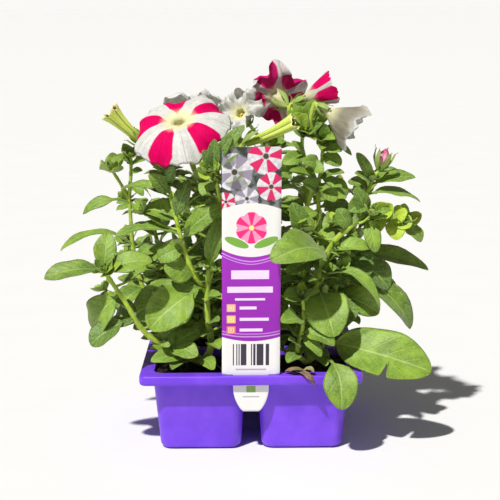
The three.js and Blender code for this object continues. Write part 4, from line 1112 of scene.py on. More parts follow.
def makeCalyx(stems, leaves, flower, seed):
    # the flower's stalk, and the sepals round its base
    axes = flowerAxes(flower["axis"])
    foot = np.asarray(flower["base"]) - axes[0] * 0.3
    ends = [(foot - axes[0] * 4).tolist(), (foot - axes[0]).tolist()]
    path = throughPoints(flower["pedicel"] + ends, pedicelShape["steps"])
    share = np.linspace(0, 1, pedicelShape["steps"])
    radii = np.interp(share, pedicelShape["at"], pedicelShape["radii"])
    tube(stems, path, radii, stemShape["sides"], 0.9)
    reach = calyx["closed"] if "forward" in flower else 1
    for k in range(calyx["sepals"]):
        turn = (k + 0.5 + 0.3 * draw(seed + k)) / calyx["sepals"] * 2 * math.pi
        low = around(foot - axes[0] * 2, axes, calyx["foot"], turn, 0)
        end = around(foot, axes, calyx["spread"] * reach, turn, calyx["length"] * reach)
        shape = {"root": low, "tip": end, "width": calyx["width"], "face": axes[0], "arch": -0.12,
                 "petiole": 0.0, "phase": k, "curl": calyx["curl"]}
        blade(leaves, shape, None, 12, 6, 0.9)


def growPlant(name, seed, paints):
    # stems, leaves and side shoots of one plant, and its stems' paths
    plant, signs = plants[name], quadrants[name]
    keep = keeper(signs)
    stems, leaves, fresh = Skin(), Skin(), Skin()
    paths = []
    for points, foot, tip in plant["stems"]:
        steps = 10 * len(points)
        path = throughPoints(points, steps)
        share = np.linspace(0, 1, steps)
        fromKnot = (share * len(points)) % 1 - 0.5
        knots = 1 + stemShape["knot"] * np.exp(-(fromKnot / stemShape["knotLength"]) ** 2)
        radii = mix(foot, tip, share) * stemShape["slim"] * knots
        tube(stems, path, radii, stemShape["sides"], draw(seed + foot))
        paths.append(path)
    every = np.vstack([throughPoints(points, 81) for points, _, _ in plant["stems"]])
    listed = plant["leaves"] + (ruledLeaves(plant, signs) if "rule" in plant else [])
    for i, (root, tip, width, *rest) in enumerate(listed):
        start = every[np.argmin(np.linalg.norm(every - np.asarray(root), axis=1))]
        start = start - unit(np.subtract(tip, start)) * 0.7
        shape = {"face": plant["face"], "root": start, "tip": tip, "width": width,
                 "phase": draw(seed + i) * 6, **(rest[0] if rest else {})}
        big = width > 20
        lengthwise = 150 if "tear" in shape else 26 if big else 18
        tone = shape.get("tone", draw(seed + i * 3) * 0.8)
        blade(leaves, shape, keep, lengthwise, 14 if big else 10, tone)
    sideShoots(name, paths, seed + 50, stems, fresh)
    for i, tip in enumerate(plant["tips"]):
        whorl(leaves, tip, seed + i * 3, keep)
    for i, flower in enumerate(flower for flower in flowers.values() if flower["plant"] == name):
        makeCalyx(stems, leaves, flower, seed + i)
    pieces = {"stems": (stems, "stem"), "leaves": (leaves, "leaf"), "shoots": (fresh, "leaf")}
    for suffix, (skin, paint) in pieces.items():
        finished(skin.object(f"{name}_{suffix}", paints[paint]), f"plant_{name}")
    return paths


def leafPaint():
    p = Paint("leafGreen", {"Specular IOR Level": 0.5, "Sheen Weight": 0.16, "Sheen Roughness": 0.5,
                            "Subsurface Weight": 0.06, "Subsurface Scale": 0.002})
    along, across = p.surfaceUv()
    edge = abs(across * 2 - 1)
    tone, under = p.attribute("tone"), p.attribute("under")
    wobble = p.noise(5, 2) * 0.12
    veins = abs((along * 6.5 - edge ** 0.85 * 1.7 + wobble + 0.5).fract() - 0.5) * 2
    vein = p.ramp(veins, 0.16, 0.02) * p.ramp(edge, 1, 0.7)
    midrib = p.ramp(edge, 0.08, 0.015)
    cloud = p.ramp(p.noise(9, 3), 0.3, 0.7)
    # a tone below 0 takes the leaf to the darkest green: painted shade
    upper = p.mix(cloud * 0.5 + tone * 0.5, rgb(68, 102, 2), rgb(136, 170, 18))
    # fine down makes the green mealy, partly with the pale hairs' own colour and partly as a painted sheen,
    # and young leaves are yellower
    upper = p.mix(p.ramp(p.noise(1.1, 4), 0.35, 0.7) * 0.42, upper, rgb(156, 188, 104))
    upper = p.mix(p.ramp(tone, 0.82, 1.0) * 0.7, upper, rgb(188, 212, 48))
    colour = p.mix(under, upper, rgb(146, 172, 84))
    colour = p.mix(vein * 0.2 + midrib * 0.5, colour, rgb(176, 200, 108))
    # veins lie in furrows above and stand out below
    height = 0.5 * p.noise(0.8, 3) - vein * 0.5 - midrib + p.ramp(veins, 0.1, 0.9) * 0.35
    height = height * (1 - under * 1.6)
    rough = 0.46 + 0.16 * p.noise(4, 2) + 0.1 * under
    return p.finish(colour, rough, p.bump(height, 0.4, 0.55))


def stemPaint():
    p = Paint("stemGreen", {"Specular IOR Level": 0.25, "Sheen Weight": 0.3, "Sheen Roughness": 0.35,
                            "Subsurface Weight": 0.1, "Subsurface Scale": 0.002})
    tone = p.attribute("tone")
    streak = p.noise(1.6, 3, stretch=(1, 1, 0.15))
    cloud = p.ramp(p.noise(12, 2), 0.35, 0.7)
    colour = p.mix(cloud, rgb(148, 178, 42), rgb(184, 208, 66))
    colour = p.mix(tone * 0.4, colour, rgb(190, 210, 98))
    colour = p.mix(p.ramp(streak, 0.5, 0.75) * 0.4, colour, rgb(196, 210, 130))
    return p.finish(colour, 0.55, p.bump(streak, 0.2, 0.5))


lobes = 5    # of every petunia
corolla = {
    "sides": 180, "thickness": 0.4,
    "footRadius": 2.2, "throatRadius": 2.6, "throatShare": 0.06,    # of the bloom's radius
    "flare": 5,              # how far the face rises above the throat before it droops
    "seam": 0.5,             # depth of the seams between the lobes
    "seamWidth": 0.09,       # share of a lobe
    "crease": 0.3,           # depth of the crease down each lobe's middle
    "creaseWidth": 0.05,
    "notch": 0.045,          # how far a seam pulls the rim in, as a share of the radius
    "bend": 2,               # how far a crumpled face bends
    "pull": 0.09             # how far its rim is drawn in and out, as a share of the radius
}


def profile(bloom, place):
    # radius and rise of the corolla at a place: 0 is its base, 1 its throat, 2 its rim
    foot, throat = corolla["footRadius"], corolla["throatRadius"] + bloom["radius"] * corolla["throatShare"]
    inside, out = min(place, 1), max(place - 1, 0)
    forward = bloom.get("forward", 0)
    spread = (math.sin(out * math.pi / 2) if forward else out) ** 0.85
    radius = mix(foot, throat, inside ** 2.2) if place <= 1 else mix(throat, bloom["radius"], spread)
    flare = corolla["flare"] * math.sin(out * math.pi * 0.62) + forward * out
    return radius, bloom["tube"] * inside + flare - bloom["droop"] * out ** 1.8


def lobeRidge(turn, start, width):
    # one bump for each lobe, as a share of its height
    place = np.mod(turn * lobes / (2 * math.pi) + start, 1) - 0.5
    return np.exp(-(place / width) ** 2)


def makeCorolla(name, bloom, material):
    # one closed skin: up the outside of the tube and over the face, and back down inside
    axes, skin = flowerAxes(bloom["axis"]), corolla["thickness"]
    up = np.concatenate([np.linspace(0, 1, 16), 1 + np.linspace(0, 1, 30)[1:] ** 0.9])
    down = up[::-1][1:-4]
    turn = ringTurns(corolla["sides"])
    angle = turn + math.radians(bloom["spin"])
    phase = bloom["spin"]
    seam = lobeRidge(turn, 0, corolla["seamWidth"])
    crease = lobeRidge(turn, 0.5, corolla["creaseWidth"])
    rings, uvs, unders = [], [], []
    for places, inner in ((up, False), (down, True)):
        for place in places:
            out = max(place - 1, 0)
            radius, rise = profile(bloom, place)
            notch = bloom.get("notch", corolla["notch"])
            lobe = 1 + 0.06 * out ** 2 * np.cos(lobes * turn) - notch * out ** 4 * seam
            ruffle = out ** 2 * (1.3 * np.sin(7 * turn + phase) + 0.9 * np.cos(lobes * turn))
            fine = 0.7 * np.sin(17 * turn + 1.7 * phase) + 0.4 * np.sin(31 * turn + phase * 2.1)
            ruffle += out ** 4 * fine
            # a crumpled bloom is bent all over
            bent = np.sin(3 * turn + 4 * out + phase) + 0.7 * np.sin(5 * turn - 6 * out + 2 * phase)
            bent += 0.5 * np.sin(9 * turn + 7 * out + 3 * phase) + 0.3 * np.sin(16 * turn - 9 * out + phase)
            crumple = bloom.get("crumple", 0) * out ** 1.3
            pulled = 1 + crumple * corolla["pull"] * np.sin(4 * turn + 5 * out + 1.7 * phase)
            pleat = corolla["seam"] * seam + corolla["crease"] * crease
            pleat = math.sin(math.pi * min(out * 1.1, 1)) * pleat
            rib = 0.25 * np.cos(lobes * turn) * min(place, 1) * (out == 0)
            # the skin's thickness is across the tube, and turns to lie along the rise over the face
            wall = skin * (1 - min(out * 2, 1)) if inner else 0
            lift = skin * min(out * 4, 1) if inner and place < 2 else 0
            sag = bloom.get("sag", 0) * out ** 2 * np.clip(np.cos(angle), 0, 1)
            rise = rise + ruffle * bloom.get("ruffle", 1) + bent * crumple * corolla["bend"]
            rise = rise + lift - pleat - sag
            rings.append(around(bloom["base"], axes, radius * lobe * pulled - wall + rib, angle, rise))
            uvs.append(np.stack([turn / (2 * math.pi), np.full(len(turn), place / 2)], -1))
            unders.append(np.full(len(turn), 0.0 if inner else 1.0))
    shape = Skin()
    shape.loft(np.array(rings), np.array(uvs), 1, draw(bloom["radius"]), np.array(unders))
    finished(shape.object(name.replace("bloom", "corolla"), material), name)


stamen = {
    "count": 5, "radius": 0.28, "knob": 0.85, "spread": 1.3, "foot": 1.5,
    "height": 0.74,      # share of the tube
    "style": 1.5         # how far the style stands above the stamens
}


def makeStamens(name, bloom, material):
    # five stamens and a style, inside the throat
    axes = flowerAxes(bloom["axis"])
    shape = Skin()
    count, top = stamen["count"], bloom["tube"] * stamen["height"]
    for i in range(count + 1):
        style = i == count
        turn = i / count * 2 * math.pi + 0.4
        spread = 0 if style else stamen["spread"]
        rise = np.linspace(stamen["foot"], top + (stamen["style"] if style else 0), 12)
        path = around(bloom["base"], axes, spread * (rise / top) ** 1.5, turn, rise)
        tube(shape, path, np.full(12, stamen["radius"]), 6, 0.2)
        knob = path[-1] + np.outer(np.linspace(-0.8, 0.9, 7), axes[0])
        tube(shape, knob, stamen["knob"] * np.sin(np.linspace(0.25, 2.9, 7)), 8, 0.9)
    finished(shape.object(name.replace("bloom", "stamens"), material), name)


def petalPaint(name, striped, share=0.52, behind=0.6, paintedBack=rgb(158, 153, 136)):
    # share is the stripes' part of a lobe; behind is how far the painted back colour covers the back. That
    # colour is painted shade on most blooms, and on the back-lit one it is a painted glow of light through
    # the petals
    p = Paint(name, {"Specular IOR Level": 0.06, "Subsurface Weight": 0.06, "Subsurface Scale": 0.002})
    turn, place = p.surfaceUv()
    place = place * 2
    back = p.attribute("under")
    wobble = (p.noise(5, 3) - 0.5) * 0.3
    fromSeam = abs((turn * lobes).fract() - 0.5) * 2
    lines = abs((turn * 50 + wobble * 2).fract() - 0.5) * 2
    fine = abs((turn * 135 + wobble * 5).fract() - 0.5) * 2
    vein = p.ramp(lines, 0.24, 0.04) * 0.6 + p.ramp(fine, 0.3, 0.06) * 0.4
    shade = p.ramp(p.noise(6, 3), 0.3, 0.75)
    crepe = p.ramp(p.noise(1.2, 4), 0.35, 0.7)
    crease = p.ramp(fromSeam, 0.975, 1.0) * p.ramp(place, 1.25, 1.5)
    white = p.mix(shade, rgb(206, 205, 200), rgb(226, 225, 221))
    white = p.mix(vein * 0.34 + crepe * 0.3, white, rgb(180, 180, 170))
    # the seams' creases are greyed: painted shade in the folds
    white = p.mix(crease * 0.5, white, rgb(150, 150, 140))
    # the painted back colour thins towards the rim, so the rim is painted lighter
    rimLight = p.ramp(place, 2.0, 1.5, to=(0.4, 1))
    white = p.mix(back * min(behind + 0.25, 1) * rimLight, white, paintedBack)
    colour = white
    if striped:
        # wedges between the white rays, narrow at the throat and round-shouldered
        reach = p.ramp(place, 1.0, 1.34, to=(-0.05, share)) - p.ramp(place, 1.88, 2.0, to=(0, 0.12))
        band = p.ramp(fromSeam + wobble * 0.12, reach + 0.025, reach - 0.025)
        magenta = p.mix(shade, rgb(208, 0, 84), rgb(226, 0, 98))
        magenta = p.mix(vein * 0.3 + crepe * 0.15, magenta, rgb(180, 0, 76))
        # the backs' magenta is paler and duller, partly as a petal's back is and partly as painted shade
        magenta = p.mix(back * behind, magenta, rgb(182, 36, 106))
        colour = p.mix(band, white, magenta)
    # cream in the throat, with golden and olive veins; the tube's outside is pale green
    throat = p.ramp(place + wobble * 0.3, 1.3, 1.03) * 0.9
    inside = p.mix(vein, rgb(236, 232, 182), rgb(208, 198, 112))
    inside = p.mix(p.ramp(place, 0.98, 0.6), inside, rgb(226, 218, 128))
    outside = p.mix(p.ramp(place, 0.1, 0.9), rgb(176, 188, 110), rgb(226, 222, 178))
    outside = p.mix(p.ramp(lines, 0.3, 0.1) * 0.4, outside, rgb(164, 148, 110))
    colour = p.mix(throat * (1 - back), colour, inside)
    colour = p.mix(p.ramp(place, 1.3, 0.95) * back, colour, outside)
    height = 0.5 * crepe - vein * 0.6 - crease
    return p.finish(colour, 0.52 + 0.15 * p.noise(5, 2), p.bump(height, 0.4, 0.7))


furled = {
    "trumpetSides": 60, "trumpetFurrow": 0.13, "trumpetTwist": 1.2,
    "mouth": [1, 0.96, 0.9, 0.82, 0.74],     # how the mouth goes back in, as shares of the length
    "budSides": 40, "budFurrow": 0.12, "budTwist": 2.2
}


def makeTrumpet(name, rod, material):
    # a furled corolla: five furrows, and a ragged mouth that opens inwards
    axes = flowerAxes(rod["axis"])
    length = np.linalg.norm(rod["axis"])
    turn = ringTurns(furled["trumpetSides"])
    shape = Skin()
    rings, uvs, unders = [], [], []
    for share, inner in [(s, 0) for s in np.linspace(0, 1, 26)] + [(s, 1) for s in furled["mouth"]]:
        radius = np.interp(share * 4, range(5), rod["radii"])
        twisted = lobes * turn + share * furled["trumpetTwist"]
        furrow = 1 + min(share * 5, 1) * furled["trumpetFurrow"] * np.cos(twisted)
        ragged = 1.1 * np.cos(lobes * turn + 2.2) + 0.6 * np.sin(9 * turn)
        rise = length * share + share ** 8 * ragged
        curve = 0.02 * length * math.sin(math.pi * share)
        flare = 1 + 0.1 * share ** 10
        pinch = 0.86 - 0.5 * (1 - share) * 3 if inner and share < 1 else 1
        ring = around(rod["base"], axes, radius * furrow * flare * max(pinch, 0.3), turn, rise)
        rings.append(ring + axes[1] * curve)
        uvs.append(np.stack([turn / (2 * math.pi), np.full(len(turn), share)], -1))
        unders.append(np.full(len(turn), float(inner and share < 1)))
    shape.loft(np.array(rings), np.array(uvs), 1, 0.5, np.array(unders))
    finished(shape.object(f"{name}_furled", material), name)


def makeBud(name, rod, material):
    # closed, with five furrows that wind up it
    axes = flowerAxes(rod["axis"])
    length = np.linalg.norm(rod["axis"])
    turn = ringTurns(furled["budSides"])
    share = np.linspace(0, 1, 24)[:, None]
    radius = throughPoints([[r, 0, 0] for r in rod["radii"]], 24)[:, :1]
    twisted = lobes * turn + share * furled["budTwist"]
    furrow = 1 + furled["budFurrow"] * np.cos(twisted) * np.sin(math.pi * share) ** 0.5
    rings = around(rod["base"], axes, radius * furrow, turn, share * length)
    shape = Skin()
    shape.loft(rings)
    finished(shape.object(f"{name}_furled", material), name)


def trumpetPaint():
    p = Paint("youngTrumpet", {"Specular IOR Level": 0.3, "Sheen Weight": 0.3, "Sheen Roughness": 0.4,
                               "Subsurface Weight": 0.1, "Subsurface Scale": 0.002})
    turn, along = p.surfaceUv()
    inner = p.attribute("under")
    wobble = (p.noise(3, 3) - 0.5) * 0.5
    furrow = abs((turn * lobes + along * 0.19 + wobble * 0.2).fract() - 0.5) * 2
    lines = abs((turn * 25 + wobble).fract() - 0.5) * 2
    colour = p.mix(p.ramp(along, 0.0, 0.6), rgb(176, 204, 70), rgb(212, 230, 104))
    # dark olive down each furrow: painted shade in the folds
    colour = p.mix(p.ramp(furrow, 0.22, 0.04) * 0.8, colour, rgb(92, 92, 34))
    vein = p.ramp(lines, 0.3, 0.1)
    colour = p.mix(vein * 0.35, colour, rgb(130, 132, 50))
    colour = p.mix(p.ramp(along, 0.93, 1.0) * 0.5, colour, rgb(242, 232, 176))
    # the inside of the mouth is dark magenta: the petals' colour under painted shade
    colour = p.mix(inner, colour, rgb(92, 30, 56))
    height = p.noise(0.9, 3) + furrow * 0.5 - 0.4 * vein
    return p.finish(colour, 0.55, p.bump(height, 0.3, 0.6))


def budPaint():
    p = Paint("budPink", {"Specular IOR Level": 0.3, "Sheen Weight": 0.4, "Sheen Roughness": 0.4})
    turn, along = p.surfaceUv()
    rib = abs((turn * lobes + along * 1.75).fract() - 0.5) * 2
    colour = p.mix(p.ramp(along, 0.1, 0.5), rgb(190, 204, 120), rgb(226, 150, 178))
    colour = p.mix(p.ramp(along, 0.6, 1.0), colour, rgb(206, 60, 122))
    colour = p.mix(p.ramp(rib, 0.3, 0.0) * 0.5, colour, rgb(160, 70, 100))
    return p.finish(colour, 0.55, p.bump(p.noise(0.8, 3) + rib * 0.5, 0.2, 0.6))


def stamenPaint():
    p = Paint("stamen")
    colour = p.mix(p.attribute("tone"), rgb(206, 206, 120), rgb(232, 214, 110))
    return p.finish(p.mix(p.noise(0.5, 2) * 0.4, colour, rgb(160, 140, 60)), 0.7)


soil = {
    "floor": 1.8, "level": 51, "gap": 0.3,    # the gap is between the soil and the cell's wall
    "relief": 1.5, "lumpsPerMillimetre": 0.16, "mound": 0.8, "edgeDrop": 0.9, "rings": 40,
    "crumbs": 0.22,        # crumbs on each square millimetre
    "crumbSize": 1.1, "seed": 5
}


def makeSoil(name, signs, material):
    # a plug that fills its cell, with a lumpy top
    level, inset, radius = soil["level"], pack["wall"] + soil["gap"], pack["bottomRadius"]
    rings = [np.array(cellRing(signs, z, extra + inset)) for z, extra in
             ((soil["floor"], radius), (soil["floor"] + radius, 0), (level - 4, 0), (level - 1, 0))]
    edge = rings[-1]
    middle = edge.mean(0)
    for i in range(1, soil["rings"]):
        share = 1 - i / soil["rings"]
        ring = middle + (edge - middle) * share
        mound = soil["mound"] * (1 - share ** 2)
        for point in ring:
            lumps = fractal.fractal(Vector(point) * soil["lumpsPerMillimetre"], 0.9, 2.1, 5)
            point[2] = level - 0.4 + lumps * soil["relief"] + mound - soil["edgeDrop"] * share ** 8
        rings.append(ring)
    return solidOf(f"soil_{name}", rings, material)


def soilPaint():
    p = Paint("pottingMix", {"Specular IOR Level": 0.25})
    cloud = p.ramp(p.noise(3, 4), 0.35, 0.7)
    colour = p.mix(cloud, rgb(20, 15, 13), rgb(58, 44, 36))
    # some crumbs are brown bark
    colour = p.mix(p.ramp(p.attribute("tone"), 0.6, 1.0) * 0.5, colour, rgb(96, 74, 54))
    return p.finish(colour, 0.8 - 0.2 * cloud, p.bump(p.noise(0.7, 4), 0.4, 0.8))


# in metres, as the hairs' Geometry Nodes take them
hair = {"perSquareMetre": 0.5e6, "length": 0.0009, "thickness": 0.00005, "seed": 20}


def hairPaint():
    p = Paint("paleHair", {"Sheen Weight": 0.3})
    return p.finish(p.mix(p.noise(4, 2), rgb(214, 222, 180), rgb(240, 242, 224)), 0.6)


# Scraps of a withered leaf over the front rim: root, tip, width, and the point that bends one over.
withered = {
    "scraps": [
        ([30, -64, 55.8], [42, -73.2, 48], 5, [38, -75.5, 59]),
        ([33, -66, 56.4], [22, -64, 56.6], 5, None),
        ([36, -64, 56], [25, -68, 57.5], 4, [30, -70, 60]),
        ([34, -66, 56], [41, -70, 57], 4, [39, -66, 60])
    ],
    "shape": {"face": [0, -0.3, 1], "arch": 0.1, "petiole": 0.05}
}


def makeWithered(material):
    skin = Skin()
    for order, (root, tip, width, via) in enumerate(withered["scraps"]):
        shape = {**withered["shape"], "root": root, "tip": tip, "width": width, "phase": order * 1.9}
        if via:
            shape["via"] = via
        blade(skin, shape, None, 24, 10, order / 4)
    finished(skin.object("withered_scraps", material), "withered_leaf")


def witheredPaint():
    p = Paint("witheredBrown", {"Specular IOR Level": 0.25})
    colour = p.mix(p.ramp(p.noise(3, 4), 0.3, 0.7), rgb(96, 72, 56), rgb(164, 136, 108))
    colour = p.mix(p.ramp(p.noise(1.4, 3), 0.5, 0.65), colour, rgb(120, 74, 84))
    # the last two scraps are still a little green
    colour = p.mix(p.ramp(p.attribute("tone"), 0.4, 0.6) * 0.6, colour, rgb(150, 158, 98))
    return p.finish(colour, 0.8, p.bump(p.noise(0.8, 4), 0.4, 0.8))


class Growth(Tree):
    # a Geometry Nodes tree with named inputs, which ends in plain geometry with its material

    def __init__(self, name, **inputs):
        self.tree = bpy.data.node_groups.new(name, "GeometryNodeTree")
        sockets = self.tree.interface
        sockets.new_socket("Geometry", in_out="INPUT", socket_type="NodeSocketGeometry")
        for title, kind in inputs.items():
            sockets.new_socket(title, in_out="INPUT", socket_type="NodeSocket" + kind)
        sockets.new_socket("Geometry", in_out="OUTPUT", socket_type="NodeSocketGeometry")
        self.entry = self.tree.nodes.new("NodeGroupInput")

    def given(self, title):
        return Value(self.tree, self.entry.outputs[title])

    def chance(self, low, high, seed):
        sockets = {2: low, 3: high, "Seed": seed}
        return self.node("FunctionNodeRandomValue", {"data_type": "FLOAT"}, sockets, 1)

    def chances(self, low, high, seed):
        # a vector of three
        sockets = {0: [low] * 3, 1: [high] * 3, "Seed": seed}
        return self.node("FunctionNodeRandomValue", {"data_type": "FLOAT_VECTOR"}, sockets, 0)

    def scaled(self, vector, factor):
        sockets = {0: vector, "Scale": factor}
        return self.node("ShaderNodeVectorMath", {"operation": "SCALE"}, sockets)

    def turned(self, rotation, euler):
        by = self.node("FunctionNodeEulerToRotation", sockets={0: euler})
        settings = {"rotation_space": "LOCAL"}
        return self.node("FunctionNodeRotateRotation", settings, {"Rotation": rotation, "Rotate By": by})

    def vector(self, x, y, z):
        return self.node("ShaderNodeCombineXYZ", sockets={0: x, 1: y, 2: z})

    def strewn(self, selection=True):
        # points on the faces, with the rotation that stands on them
        sockets = {"Mesh": self.given("Geometry"), "Density": self.given("Density"),
                   "Seed": self.given("Seed"), "Selection": selection}
        points = self.node("GeometryNodeDistributePointsOnFaces", {"distribute_method": "RANDOM"}, sockets)
        return points, Value(self.tree, points.socket.node.outputs["Rotation"])

    def placed(self, points, shape, rotation, scale, keepBase):
        # a copy of the shape on every point, each with a tone of its own, all made plain
        sockets = {"Points": points, "Instance": shape, "Rotation": rotation, "Scale": scale}
        copies = self.node("GeometryNodeInstanceOnPoints", sockets=sockets)
        settings = {"data_type": "FLOAT", "domain": "INSTANCE"}
        sockets = {"Geometry": copies, "Name": "tone", "Value": self.chance(0.0, 1.0, self.given("Seed"))}
        copies = self.node("GeometryNodeStoreNamedAttribute", settings, sockets)
        result = self.node("GeometryNodeRealizeInstances", sockets={0: copies})
        if keepBase:
            joined = self.tree.nodes.new("GeometryNodeJoinGeometry")
            self.tree.links.new(self.entry.outputs["Geometry"], joined.inputs[0])
            self.tree.links.new(result.socket, joined.inputs[0])
            result = Value(self.tree, joined.outputs[0])
        sockets = {0: result, "Material": self.given("Material")}
        painted = self.node("GeometryNodeSetMaterial", sockets=sockets)
        self.tree.links.new(painted.socket, self.tree.nodes.new("NodeGroupOutput").inputs[0])
        return self.tree


def grown(thing, tree, name, **values):
    # runs a tree on an object with these inputs, and gives the plain result
    modifier = thing.modifiers.new(tree.name, "NODES")
    modifier.node_group = tree
    for item in tree.interface.items_tree:
        if item.in_out == "INPUT" and item.name in values:
            modifier[item.identifier] = values[item.name]
    return evaluated(thing, name)


def crumbTree():
    # crumbs strewn over the upward faces
    g = Growth("crumbs", Density="Float", Size="Float", Seed="Int", Material="Material")
    upward = g.node("ShaderNodeSeparateXYZ", sockets={0: g.node("GeometryNodeInputNormal")}, output=2)
    points, _ = g.strewn(upward > 0.5)
    crumb = g.node("GeometryNodeMeshIcoSphere", sockets={"Radius": 1.0, "Subdivisions": 1})
    rotation = g.node("FunctionNodeEulerToRotation", sockets={0: g.chances(0.0, 6.28, 3)})
    # most crumbs are small
    size = g.given("Size") * (g.chance(0.0, 1.0, 8) ** 2.5 * 0.85 + 0.25)
    scale = g.scaled(g.chances(0.5, 1.0, 4), size)
    return g.placed(points, crumb, rotation, scale, True)


def hairTree():
    # short hairs that stand on a surface
    g = Growth("hairs", Density="Float", Length="Float", Thickness="Float", Seed="Int", Material="Material")
    points, rotation = g.strewn()
    sockets = {"Vertices": 3, "Side Segments": 1, "Radius Top": 0.0, "Radius Bottom": 1.0, "Depth": 1.0}
    cone = g.node("GeometryNodeMeshCone", {"fill_type": "NGON"}, sockets)
    leaning = g.turned(rotation, g.chances(-0.5, 0.5, 7))
    length = g.given("Length") * g.chance(0.5, 1.2, 9)
    scale = g.vector(g.given("Thickness"), g.given("Thickness"), length)
    return g.placed(points, cone, leaning, scale, False)


def leafTree():
    # leaves up a stem, a golden angle apart, smaller towards its top
    g = Growth("leaves", Leaf="Object", Spacing="Float", Low="Float", High="Float", LowSize="Float",
               HighSize="Float", Front="Float", Seed="Int", Material="Material")
    curve = g.node("GeometryNodeMeshToCurve", sockets={0: g.given("Geometry")})
    sockets = {"Curve": curve, "Length": g.given("Spacing")}
    points = g.node("GeometryNodeCurveToPoints", {"mode": "LENGTH"}, sockets)
    rotation = Value(g.tree, points.socket.node.outputs["Rotation"])
    place = g.node("GeometryNodeInputPosition")
    y, z = (g.node("ShaderNodeSeparateXYZ", sockets={0: place}, output=i) for i in (1, 2))
    # none near the rim or far forward
    outside = (z < g.given("Low")).most(y < g.given("Front"))
    sockets = {"Geometry": points, "Selection": outside}
    points = g.node("GeometryNodeDeleteGeometry", {"domain": "POINT"}, sockets)
    order = g.node("GeometryNodeInputIndex")
    spin = order * goldenAngle + g.chance(-0.5, 0.5, 2)
    rotation = g.turned(rotation, g.vector(0.0, 0.0, spin))
    tilt = g.chance(-0.9, 0.15, 5)
    rotation = g.turned(rotation, g.vector(g.chance(-0.5, 0.5, 6), tilt, 0.0))
    size = g.node("ShaderNodeMapRange", sockets={0: z, 1: g.given("Low"), 2: g.given("High"),
                                                 3: g.given("LowSize"), 4: g.given("HighSize")})
    size = size * g.chance(0.65, 1.2, 11)
    leaf = g.node("GeometryNodeObjectInfo", sockets={"Object": g.given("Leaf")}, output="Geometry")
    return g.placed(points, leaf, rotation, g.vector(size, size, size), False)


def makeTemplate():
    # the small leaf that leafTree copies: a metre long, so that a copy's scale is its length
    skin = Skin()
    shape = {"root": [0, 0, 0], "tip": [1000, 0, 60], "width": 480, "face": [0, 0, 1], "phase": 1.3,
             "petiole": 0.16}
    blade(skin, shape, None, 12, 6)
    leaf = skin.object("leafTemplate")
    leaf.data.attributes.remove(leaf.data.attributes["tone"])    # each copy gets its own
    return leaf


def stemLines(paths, bare):
    # the stems' paths as edges, each bare stem cut off at its height
    paths = list(paths)
    for order, height in bare.items():
        below = int(np.sum(paths[order][:, 2] < height))
        paths[order] = paths[order][:max(2, below)]
    starts = np.cumsum([0] + [len(path) for path in paths])
    edges = [(i, i + 1) for a, b in zip(starts, starts[1:]) for i in range(a, b - 1)]
    mesh = bpy.data.meshes.new("lines")
    mesh.from_pydata((np.vstack(paths) * mm).tolist(), edges, [])
    lines = bpy.data.objects.new("lines", mesh)
    bpy.context.collection.objects.link(lines)
    return lines


# The studio's lengths are in metres, but the lens and its sensor in millimetres.
studio = {
    "lens": 90, "sensor": 36, "cameraPlace": (0, -0.8559, 0.291), "pitch": 79, "roll": -0.4,
    "floorReach": 300, "floorDrop": 0.0005, "floorGreys": (rgb(230, 230, 230), rgb(234, 234, 234)),
    "room": (0.965, 0.957, 0.931, 1), "horizonGlow": 0.99, "roofGlow": 0.15, "horizon": (0.03, 0.06),
    "sunFrom": (-0.42, -0.62, 1.1), "sunOver": (0, 0, 0.12), "sunStrength": 4.2, "sunAngle": 2,
    "sunColour": (1, 0.985, 0.95)
}


def pointCamera():
    camera = bpy.data.objects.new("camera", bpy.data.cameras.new("camera"))
    camera.data.lens, camera.data.sensor_width = studio["lens"], studio["sensor"]
    pitch, roll = math.radians(studio["pitch"]), math.radians(studio["roll"])
    turn = Matrix.Rotation(pitch, 4, "X") @ Matrix.Rotation(roll, 4, "Z")
    camera.matrix_world = Matrix.Translation(studio["cameraPlace"]) @ turn
    bpy.context.collection.objects.link(camera)
    bpy.context.scene.camera = camera


def layFloor():
    mesh, reach = bpy.data.meshes.new("floor"), studio["floorReach"]
    corners = [(-reach, -reach, 0), (reach, -reach, 0), (reach, reach, 0), (-reach, reach, 0)]
    mesh.from_pydata(corners, [], [(0, 1, 2, 3)])
    floor = bpy.data.objects.new("floor", mesh)
    floor.location = (0, 0, -studio["floorDrop"])
    bpy.context.collection.objects.link(floor)
    p = Paint("paleFloor")
    mesh.materials.append(p.finish(p.mix(p.noise(60, 2), *studio["floorGreys"]), 0.9))


def lightRoom():
    # a pale room, bright at and below the horizon and dim overhead, and one sun
    world = bpy.data.worlds.new("studio")
    bpy.context.scene.world = world
    world.use_nodes = True
    room = Tree()
    room.tree = world.node_tree
    direction = room.node("ShaderNodeTexCoord", output="Generated")
    height = room.node("ShaderNodeSeparateXYZ", sockets={0: direction}, output=2)
    low, high = studio["horizon"]
    sockets = {0: height, 1: low, 2: high, 3: studio["horizonGlow"], 4: studio["roofGlow"]}
    glow = room.node("ShaderNodeMapRange", sockets=sockets)
    background = world.node_tree.nodes["Background"]
    fill(room.tree, background.inputs["Strength"], glow)
    background.inputs["Color"].default_value = studio["room"]
    light = bpy.data.lights.new("key", "SUN")
    light.energy, light.color = studio["sunStrength"], studio["sunColour"]
    light.angle = math.radians(studio["sunAngle"])
    sun = bpy.data.objects.new("key", light)
    towards = Vector(studio["sunFrom"])
    sun.location = Vector(studio["sunOver"]) + towards
    sun.rotation_euler = towards.to_track_quat("Z", "Y").to_euler()
    bpy.context.collection.objects.link(sun)
    bpy.context.scene.view_settings.view_transform = "Standard"


pointCamera()
layFloor()
lightRoom()
print("studio ready")

makePack(packPaint())
makeLabel(labelPaint())
print("pack and label made")

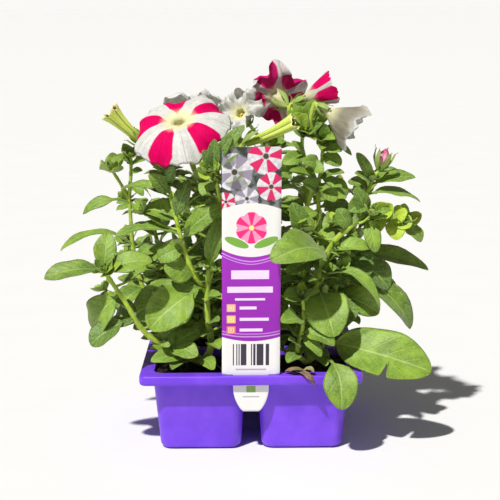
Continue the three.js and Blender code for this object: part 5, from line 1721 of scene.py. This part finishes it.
soilMaterial = soilPaint()
crumbs = crumbTree()
for index, (name, signs) in enumerate(quadrants.items()):
    bed = makeSoil(name, signs, soilMaterial)
    bed = grown(bed, crumbs, f"soil_{name}", Density=soil["crumbs"] * 1e6, Size=soil["crumbSize"] * mm,
                Seed=soil["seed"] + index, Material=soilMaterial)
    finished(bed, f"potting_mix_{name}")
print("potting mix laid")

paints = {"leaf": leafPaint(), "stem": stemPaint(), "hair": hairPaint()}
leafTemplate = makeTemplate()
hairs, filler = hairTree(), leafTree()
for index, name in enumerate(plants):
    paths = growPlant(name, index * 100, paints)
    lines = stemLines(paths, shoots[name]["bare"])
    small = grown(lines, filler, f"{name}_small_leaves", Leaf=leafTemplate, Seed=index + 3,
                  Material=paints["leaf"], **fillers[name])
    finished(small, f"plant_{name}")
    stems = bpy.data.objects[f"{name}_stems"]
    ground = bpy.data.objects.new("fuzz", stems.data)
    bpy.context.collection.objects.link(ground)
    fuzz = grown(ground, hairs, f"{name}_hairs", Density=hair["perSquareMetre"], Length=hair["length"],
                 Thickness=hair["thickness"], Seed=index + hair["seed"], Material=paints["hair"])
    finished(fuzz, f"plant_{name}")
    print(name, "grown")
bpy.data.objects.remove(leafTemplate)

# four blooms are seen from the side or from behind, and each has a paint of its own with its share of painted
# shade on its back, and a painted glow on the back-lit one
petals = {
    "star": petalPaint("petalStar", True),
    "white": petalPaint("petalWhite", False),
    "bloom_turned": petalPaint("petalTurned", True, 0.7, 0.75, rgb(196, 176, 180)),
    "bloom_half_open": petalPaint("petalHalfOpen", True, 0.78, 0.05),
    "bloom_white": petalPaint("petalOutside", False, 0, 0.75, rgb(140, 136, 118)),
    "bloom_back_left": petalPaint("petalBackLit", False, 0, 0.75, rgb(240, 240, 243))
}
stamens = stamenPaint()
for name, bloom in blooms.items():
    makeCorolla(name, bloom, petals.get(name, petals[bloom["look"]]))
    makeStamens(name, bloom, stamens)
trumpets, buds = trumpetPaint(), budPaint()
for name, rod in rods.items():
    if name.startswith("trumpet"):
        makeTrumpet(name, rod, trumpets)
    else:
        makeBud(name, rod, buds)
print("blooms made")

makeWithered(witheredPaint())
print("withered leaf laid")
